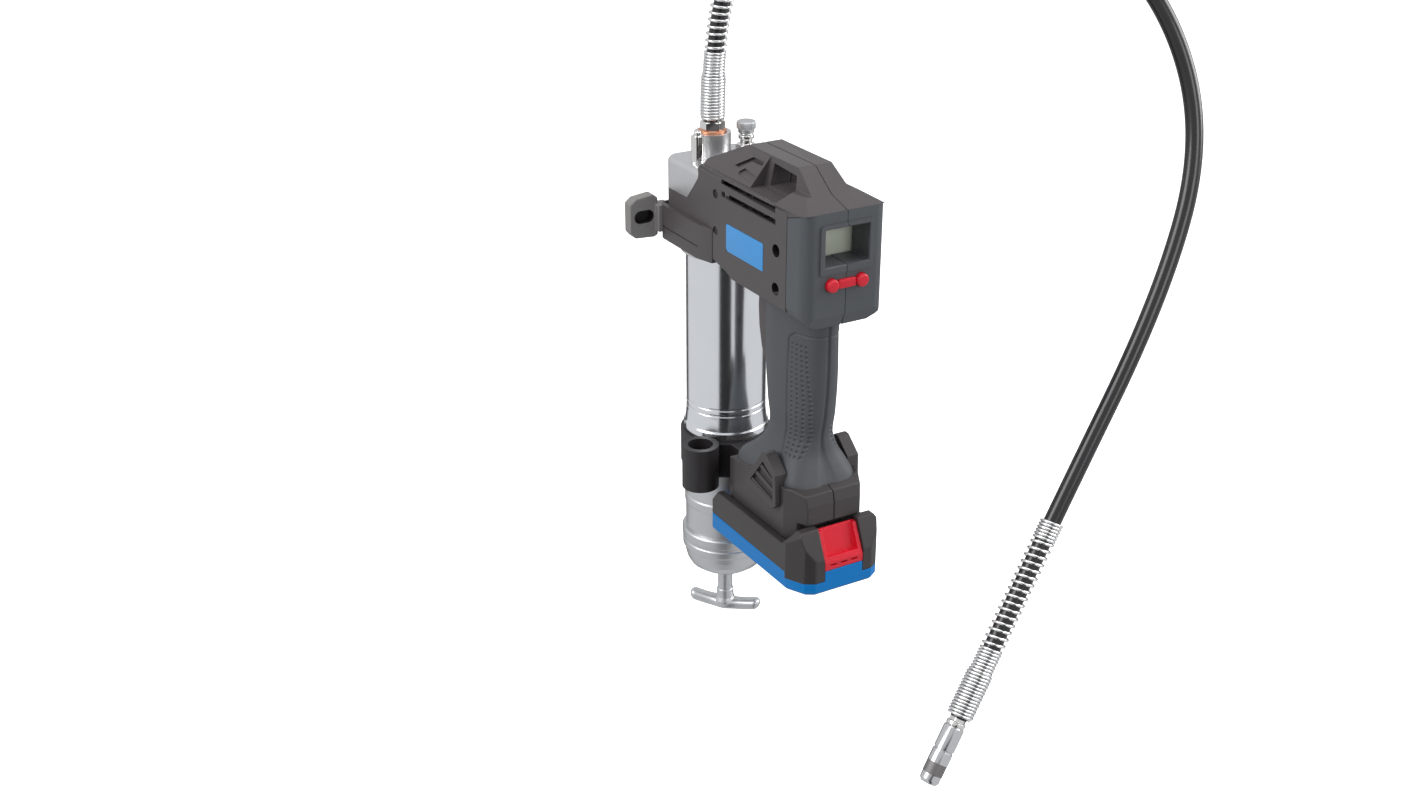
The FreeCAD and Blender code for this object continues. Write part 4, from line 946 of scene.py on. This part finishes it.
# -------- housing
@dataclass
class MotorHousing:
    """The two shells round the motor, with badges, and painted shade in their screw holes."""

    half: float = 30.0
    seam: float = 0.18
    hole_radius: float = 4.4
    recess_start: float = 2.0
    chevron_depth: float = 1.6
    dimple_depth: float = 1.1
    badge_proud: float = 0.25
    badge_sunk: float = 0.8
    badge_x: tuple[float, float] = (50.2, 95.8)
    badge_z: tuple[float, float] = (106.2, 124.8)
    screw_holes: tuple[tuple[float, float], ...] = ((111.0, 125.0), (111.0, 99.5))
    flank_low: tuple[float, float] = (26.0, 155.5)
    flank_high: tuple[float, float] = (12.0, 172.0)
    chevron: list[tuple[float, ...]] = field(default_factory=lambda: [
        (45.6, 161.6, 0.4), (59.6, 169.9, 1.0), (73.0, 169.9, 0.4), (73.0, 167.6, 0.4),
        (60.6, 167.4, 1.0),
        (50.6, 161.2, 0.4)])
    dimple: list[tuple[float, ...]] = field(default_factory=lambda: [
        (51.5, 158.2, 1.2), (58.0, 162.8, 1.6), (73.2, 161.4, 1.6), (73.6, 157.8, 1.6),
        (66.0, 156.9, 1.2)])

    def _in_screw_hole_painted_shade(self, x: Array, y: Array, z: Array) -> Array:
        """Whether a face lies inside one of the deep screw holes, whose walls are painted black as
        shade.
        """
        near = np.zeros(x.shape, dtype=bool)
        for hole_x, hole_z in self.screw_holes:
            near |= (np.hypot(x - hole_x, z - hole_z) < self.hole_radius) & (np.abs(y) < self.half - 0.5)
        return near

    def flank_recess(self, outline: list[tuple[float, ...]], depth: float, sign: int) -> Solid:
        """A prism that leans with the roof's flank.

        The flank's half width falls in a straight line from flank_low to flank_high; the prism's
        outer end lies
        recess_start outside that line and its inner end lies depth inside it.

        Args:
            outline: X, Z and corner radius of each corner.
            depth: depth of the recess in millimetres.
            sign: -1 for the left flank, +1 for the right.

        Returns:
            Points and faces of the prism.
        """
        x, z = filleted(outline, True).T
        (y0, z0), (y1, z1) = self.flank_low, self.flank_high
        half = y0 + (y1 - y0) * (z - z0) / (z1 - z0)
        loops = np.stack([np.stack([x, sign * (half + out), z], axis=-1)
                          for out in (self.recess_start, -depth)])
        return loops.reshape(-1, 3), tube_faces(2, len(x))

    def build(self) -> None:
        """Makes the shells and their badges."""
        for side, sign in SIDES:
            cutters = [self.flank_recess(self.chevron, self.chevron_depth, sign),
                       self.flank_recess(self.dimple, self.dimple_depth, sign)]
            shell = softened("housing_" + side, side + "_motor_shell", HOUSING, 0.7,
                             gap=self.seam * sign,
                             cutters=cutters)
            # The screw holes' walls take the black moulding as painted shade.
            repainted(shell, CLAMP, self._in_screw_hole_painted_shade)
            fitted(shell, "housing_plastic")
        (x0, x1), (z0, z1) = self.badge_x, self.badge_z
        outline = filleted([(x0, z0, 2.6), (x1, z0, 0.4), (x1, z1, 0.4), (x0, z1, 0.9)], True, 8)
        low, high, edge = self.half - self.badge_sunk, self.half + self.badge_proud, self.badge_proud
        solids = [slab(outline, Plane.XZ, -high, -low, edge), slab(outline, Plane.XZ, low, high, edge)]
        badges = joined("plain_side_badges", solids, BADGE_BLUE, 50.0)
        fitted(badges, "badge_blue", "side_badges")


@dataclass
class RearPanel:
    """The rear shells and the two buttons with their bridge."""

    face: float = 145.2
    button_y: float = 11.0
    button_z: float = 109.8
    bridge_half: float = 6.4
    bridge_rise: float = 2.9

    def build(self) -> None:
        """Makes the shells and the red parts."""
        for side, sign in SIDES:
            shell = softened("bezel_" + side, side + "_rear_shell", REAR_PANEL, 0.7, gap=0.2 * sign)
            fitted(shell, "bezel_plastic")
        for side, sign in SIDES:
            profile = filleted([(0, 139.0, 0), (5.9, 139.0, 0.2), (5.9, 140.4, 0.2), (4.3, 140.5, 0),
                                (4.3, self.face + 3.6, 1.3), (0, self.face + 3.9, 0)])
            cap = turned(side + "_button_cap", profile, SIGNAL_RED,
                         at=(0, sign * self.button_y, self.button_z),
                         direction=(1, 0, 0), around=64)
            fitted(cap, "signal_red", "button_" + side, body=side + "_button")
        y, low = self.bridge_half, self.button_z - self.bridge_rise
        high = self.button_z + self.bridge_rise
        outline = filleted([(-y, low, 1.2), (y, low, 1.2), (y, high, 1.2), (-y, high, 1.2)], True)
        bar = slab(outline, Plane.YZ, self.face - 0.4, self.face + 2.4, 0.7)
        bridge = joined("button_bridge_bar", [bar], SIGNAL_RED)
        fitted(bridge, "signal_red", "button_bridge")


# -------- handle
@dataclass
class Handle:
    """The two handle shells and the trigger."""

    heights: list[float] = field(default_factory=lambda: [
        -47.0, -40.0, -34.0, -27.0, -18.0, -8.0, 10.0, 35.0, 60.0, 86.9])
    fronts: list[float] = field(default_factory=lambda: [
        50.0, 51.5, 56.5, 65.0, 72.0, 73.5, 69.8, 66.2, 65.0, 64.0])
    rears: list[float] = field(default_factory=lambda: [
        137.0, 134.5, 132.0, 128.8, 125.0, 124.0, 127.0, 129.2, 129.4, 129.0])
    halves: list[float] = field(default_factory=lambda: [
        28.2, 28.0, 27.4, 24.2, 19.6, 17.2, 17.0, 17.0, 16.4, 16.2])
    pad_line: float = 106.0
    dot_columns: tuple[float, ...] = (110.0, 114.0, 117.8, 121.2)
    dot_pitch: float = 3.4
    dot_low: float = -19.0
    dot_high: float = 64.0
    dot_radius: float = 0.85
    dot_depth: float = 1.0
    seam_depth: float = 1.1
    groove_depth: float = 0.8
    groove_half: float = 0.6
    pad_step: float = 0.25
    flare_top: float = -8.0
    slot: tuple[tuple[float, float], ...] = ((45.0, 84.0), (-9.4, 9.4), (27.5, 92.0))

    def build(self) -> None:
        """Makes both shells and the trigger."""
        for side, sign in SIDES:
            fitted(self.shell(side + "_handle_shell", sign), "grip_rubber", "grip_" + side)
        trigger = softened("trigger", "trigger_lever", HOUSING, 1.0)
        fitted(trigger, "housing_plastic", body="trigger")

    @staticmethod
    def smooth(at: Array, heights: list[float], values: list[float]) -> Array:
        """A curve through the values: cubic Hermite spans whose slopes are the neighbours' mean
        slopes."""
        x, y = np.array(heights), np.array(values)
        slope = np.gradient(y, x)
        i = np.clip(np.searchsorted(x, at) - 1, 0, len(x) - 2)
        span = x[i + 1] - x[i]
        t = (at - x[i]) / span
        return ((2 * t ** 3 - 3 * t ** 2 + 1) * y[i] + (t ** 3 - 2 * t ** 2 + t) * span * slope[i]
                + (3 * t ** 2 - 2 * t ** 3) * y[i + 1] + (t ** 3 - t ** 2) * span * slope[i + 1])

    def relief(self, x: Array, z: Array, angle: Array) -> Array:
        """How deep the surface is sunk at each point.

        The seam is a groove where the halves meet; the pad's edge is a groove at pad_line that
        closes over the
        top; the dots are round hollows on a pitch, in columns behind that line.
        """
        seam = self.seam_depth * np.exp(-((np.minimum(np.abs(angle), math.pi - np.abs(angle))
            * 30) ** 2))
        top = self.dot_high + 3.0
        bend = self.pad_line + 0.9 * np.clip(z - top + 7.0, 0, 7) ** 2 / 7 + 0.02 * (z - 20) * (z < -5)
        bend = bend + 0.16 * np.clip(-14.0 - z, 0, 40)
        line = self.groove_depth * np.exp(-((x - bend) / self.groove_half) ** 2) * (z < top)
        over = x > self.pad_line + 6.3
        cap = self.groove_depth * np.exp(-((z - top) / self.groove_half) ** 2) * over
        step = self.pad_step / (1 + np.exp(-(x - bend) / 0.5)) * (z < top)
        dots = np.zeros_like(x)
        row = (z - self.dot_low) / self.dot_pitch
        off = (row - np.round(row)) * self.dot_pitch
        inside = (z > self.dot_low - 1) & (z < self.dot_high - 3)
        for column in self.dot_columns:
            lean = (column - self.pad_line) * 0.006 * (40 - np.abs(z - 20))
            lean = column + lean + (bend - self.pad_line) * 0.5
            near = ((x - lean) / self.dot_radius) ** 2 + (off / 0.9) ** 2
            dots = np.maximum(dots, self.dot_depth * np.exp(-near ** 2) * inside)
        return seam + line + cap + step + dots

    def shell(self, name: str, sign: int) -> bpy.types.Object:
        """One half of the handle.

        Across, the section is a superellipse between the front, the rear and the half width at each
        height; its
        exponent is 2.5 in the grip and grows to 4.4 in the flare, which makes the flare squarer. 
        The surface is
        sunk by the relief, and a flat face closes it on the parting plane.

        Args:
            name: the piece's name.
            sign: -1 for the left half, +1 for the right.

        Returns:
            The half.
        """
        z = np.concatenate([np.linspace(-47, -24, 40, endpoint=False),
                            np.linspace(-24, 62, 232, endpoint=False),
                            np.linspace(62, 86.9, 44)])
        angle = np.concatenate([np.linspace(0.0, 1.75, 130, endpoint=False),
                                np.linspace(1.75, math.pi, 58)])
        front, rear, half = (self.smooth(z, self.heights, v)
                             for v in (self.fronts, self.rears, self.halves))
        c, s = np.cos(angle)[None, :], np.sin(angle)[None, :]
        power = (2 / (2.5 + 1.9 * np.clip((self.flare_top - z) / 26.0, 0, 1)))[:, None]
        middle, reach = ((front + rear) / 2)[:, None], ((rear - front) / 2)[:, None]
        across_x = np.sign(c) * np.abs(c) ** power
        across_y = np.clip(s, 0, 1) ** power
        x, y = middle + reach * across_x, half[:, None] * across_y
        level, round_angle = np.broadcast_arrays(z[:, None], angle[None, :])
        sunk = self.relief(x, level, round_angle)
        nx = np.sign(c) * np.abs(c) ** (2 - power) / reach
        ny = np.clip(s, 0, 1) ** (2 - power) / half[:, None]
        length = np.sqrt(nx ** 2 + ny ** 2)
        x = x - sunk * nx / length
        y = np.clip(y - sunk * ny / length, 0.0, None)
        y[:, 0], y[:, -1] = 0.0, 0.0
        piece = swept(name, np.stack([x, sign * y, level], axis=-1), GRIP)
        self._open_front(piece)
        return piece

    def _open_front(self, piece: bpy.types.Object) -> None:
        """Cuts the trigger's slot, a box, into the front of a half."""
        faces = [[0, 1, 3, 2], [4, 6, 7, 5], [0, 4, 5, 1], [2, 3, 7, 6], [0, 2, 6, 4], [1, 5, 7, 3]]
        carved(piece, [(np.array(list(product(*self.slot))), faces)])
        piece.data.set_sharp_from_angle(angle=math.radians(60))


# -------- foot, clamp, collar, battery
@dataclass
class Foot:
    """The foot's shells with their vent pods, and the clamp, collar and strap lug on the barrel."""

    seam: float = 0.2
    socket_middle: Point = (-38.25, -45.9, 107.5)
    socket_half: Point = (3.65, 7.6, 4.7)

    def _in_socket_painted_shade(self, x: Array, y: Array, z: Array) -> Array:
        """Whether a face lies inside the strap lug's socket, whose walls are painted black as shade."""
        (x0, y0, z0), (dx, dy, dz) = self.socket_middle, self.socket_half
        return (np.abs(x - x0) < dx) & (np.abs(y - y0) < dy) & (np.abs(z - z0) < dz)

    def build(self) -> None:
        """Makes the mouldings that carry the barrel and the battery."""
        for side, sign in SIDES:
            fitted(softened("base_" + side, side + "_foot_shell", FOOT, 0.7, gap=self.seam * sign),
                   "housing_plastic")
        fitted(softened("vent_pods", "foot_vent_pods", FOOT, 0.5), "housing_plastic")
        fitted(softened("hose_holder_clamp", "coupler_holder", CLAMP, 0.6), "clamp_rubber")
        fitted(softened("barrel_collar", "barrel_collar_band", HOUSING, 0.8), "housing_plastic")
        lug = softened("strap_eyelet", "strap_lug", EYELET, 0.9)
        # The socket's walls take the black moulding as painted shade.
        repainted(lug, CLAMP, self._in_socket_painted_shade)
        fitted(lug, "eyelet_plastic")


class Battery:
    """The slide-on pack's shells and its latch."""

    def build(self) -> None:
        """Makes the pack's outside."""
        for node, name, finish, width, slot, body in (
                ("battery_tray", "battery_lower_shell", BATTERY_BLUE, 0.7, "battery_blue", "battery"),
                ("battery_lid", "battery_upper_shell", BATTERY_TOP, 0.8, "battery_brown", "battery"),
                ("battery_latch", "battery_release_latch", SIGNAL_RED, 0.5, "signal_red", "latch")):
            fitted(softened(node, name, finish, width), slot, body=body)


# -------- the rest
SLOT_FINISH = {
    "casting": CASTING, "barrel_steel": BRIGHT_STEEL, "cap_zinc": DULL_ZINC, "rod_steel": MACHINED,
    "nickel": NICKEL, "filler_zinc": DULL_ZINC, "copper": COPPER, "bronze": BRONZE,
    "housing_plastic": HOUSING,
    "bezel_plastic": REAR_PANEL, "grip_rubber": GRIP, "eyelet_plastic": EYELET, "clamp_rubber": CLAMP,
    "badge_blue": BADGE_BLUE, "signal_red": SIGNAL_RED, "lens": LENS, "display": DISPLAY, "board": BOARD,
    "black_plastic": CLAMP, "motor_steel": MACHINED, "magnet": FERRITE, "spring_steel": SPRING_WIRE,
    "seal_rubber": RUBBER, "hose_rubber": HOSE_RUBBER, "coupler_steel": COUPLER,
    "nose_steel": MATTE_BAND,
    "black_steel": BLACK_SCREW, "battery_blue": BATTERY_BLUE, "battery_brown": BATTERY_TOP,
    "cell_wrap": CELL_SLEEVE}


def dress_frame() -> None:
    """Gives every node of the frame that still shows its slot's finish."""
    for part in frame["record"]["subparts"]:
        node = frame["nodes"][part["node"]]
        node.data.materials.clear()
        node.data.materials.append(SLOT_FINISH[part["material_slot"]].material())


def main() -> None:
    """Builds the studio, the hose and every sub-assembly."""
    logging.basicConfig(level=logging.INFO, format="%(name)s: %(message)s", force=True)
    Studio().build()
    for assembly in (WhipHose(), PumpHead(), Barrel(), MotorHousing(), RearPanel(), Handle(), Foot(),
                     Battery()):
        assembly.build()
        LOG.info("%s done", type(assembly).__name__)
    dress_frame()


if __name__ == "__main__":
    main()
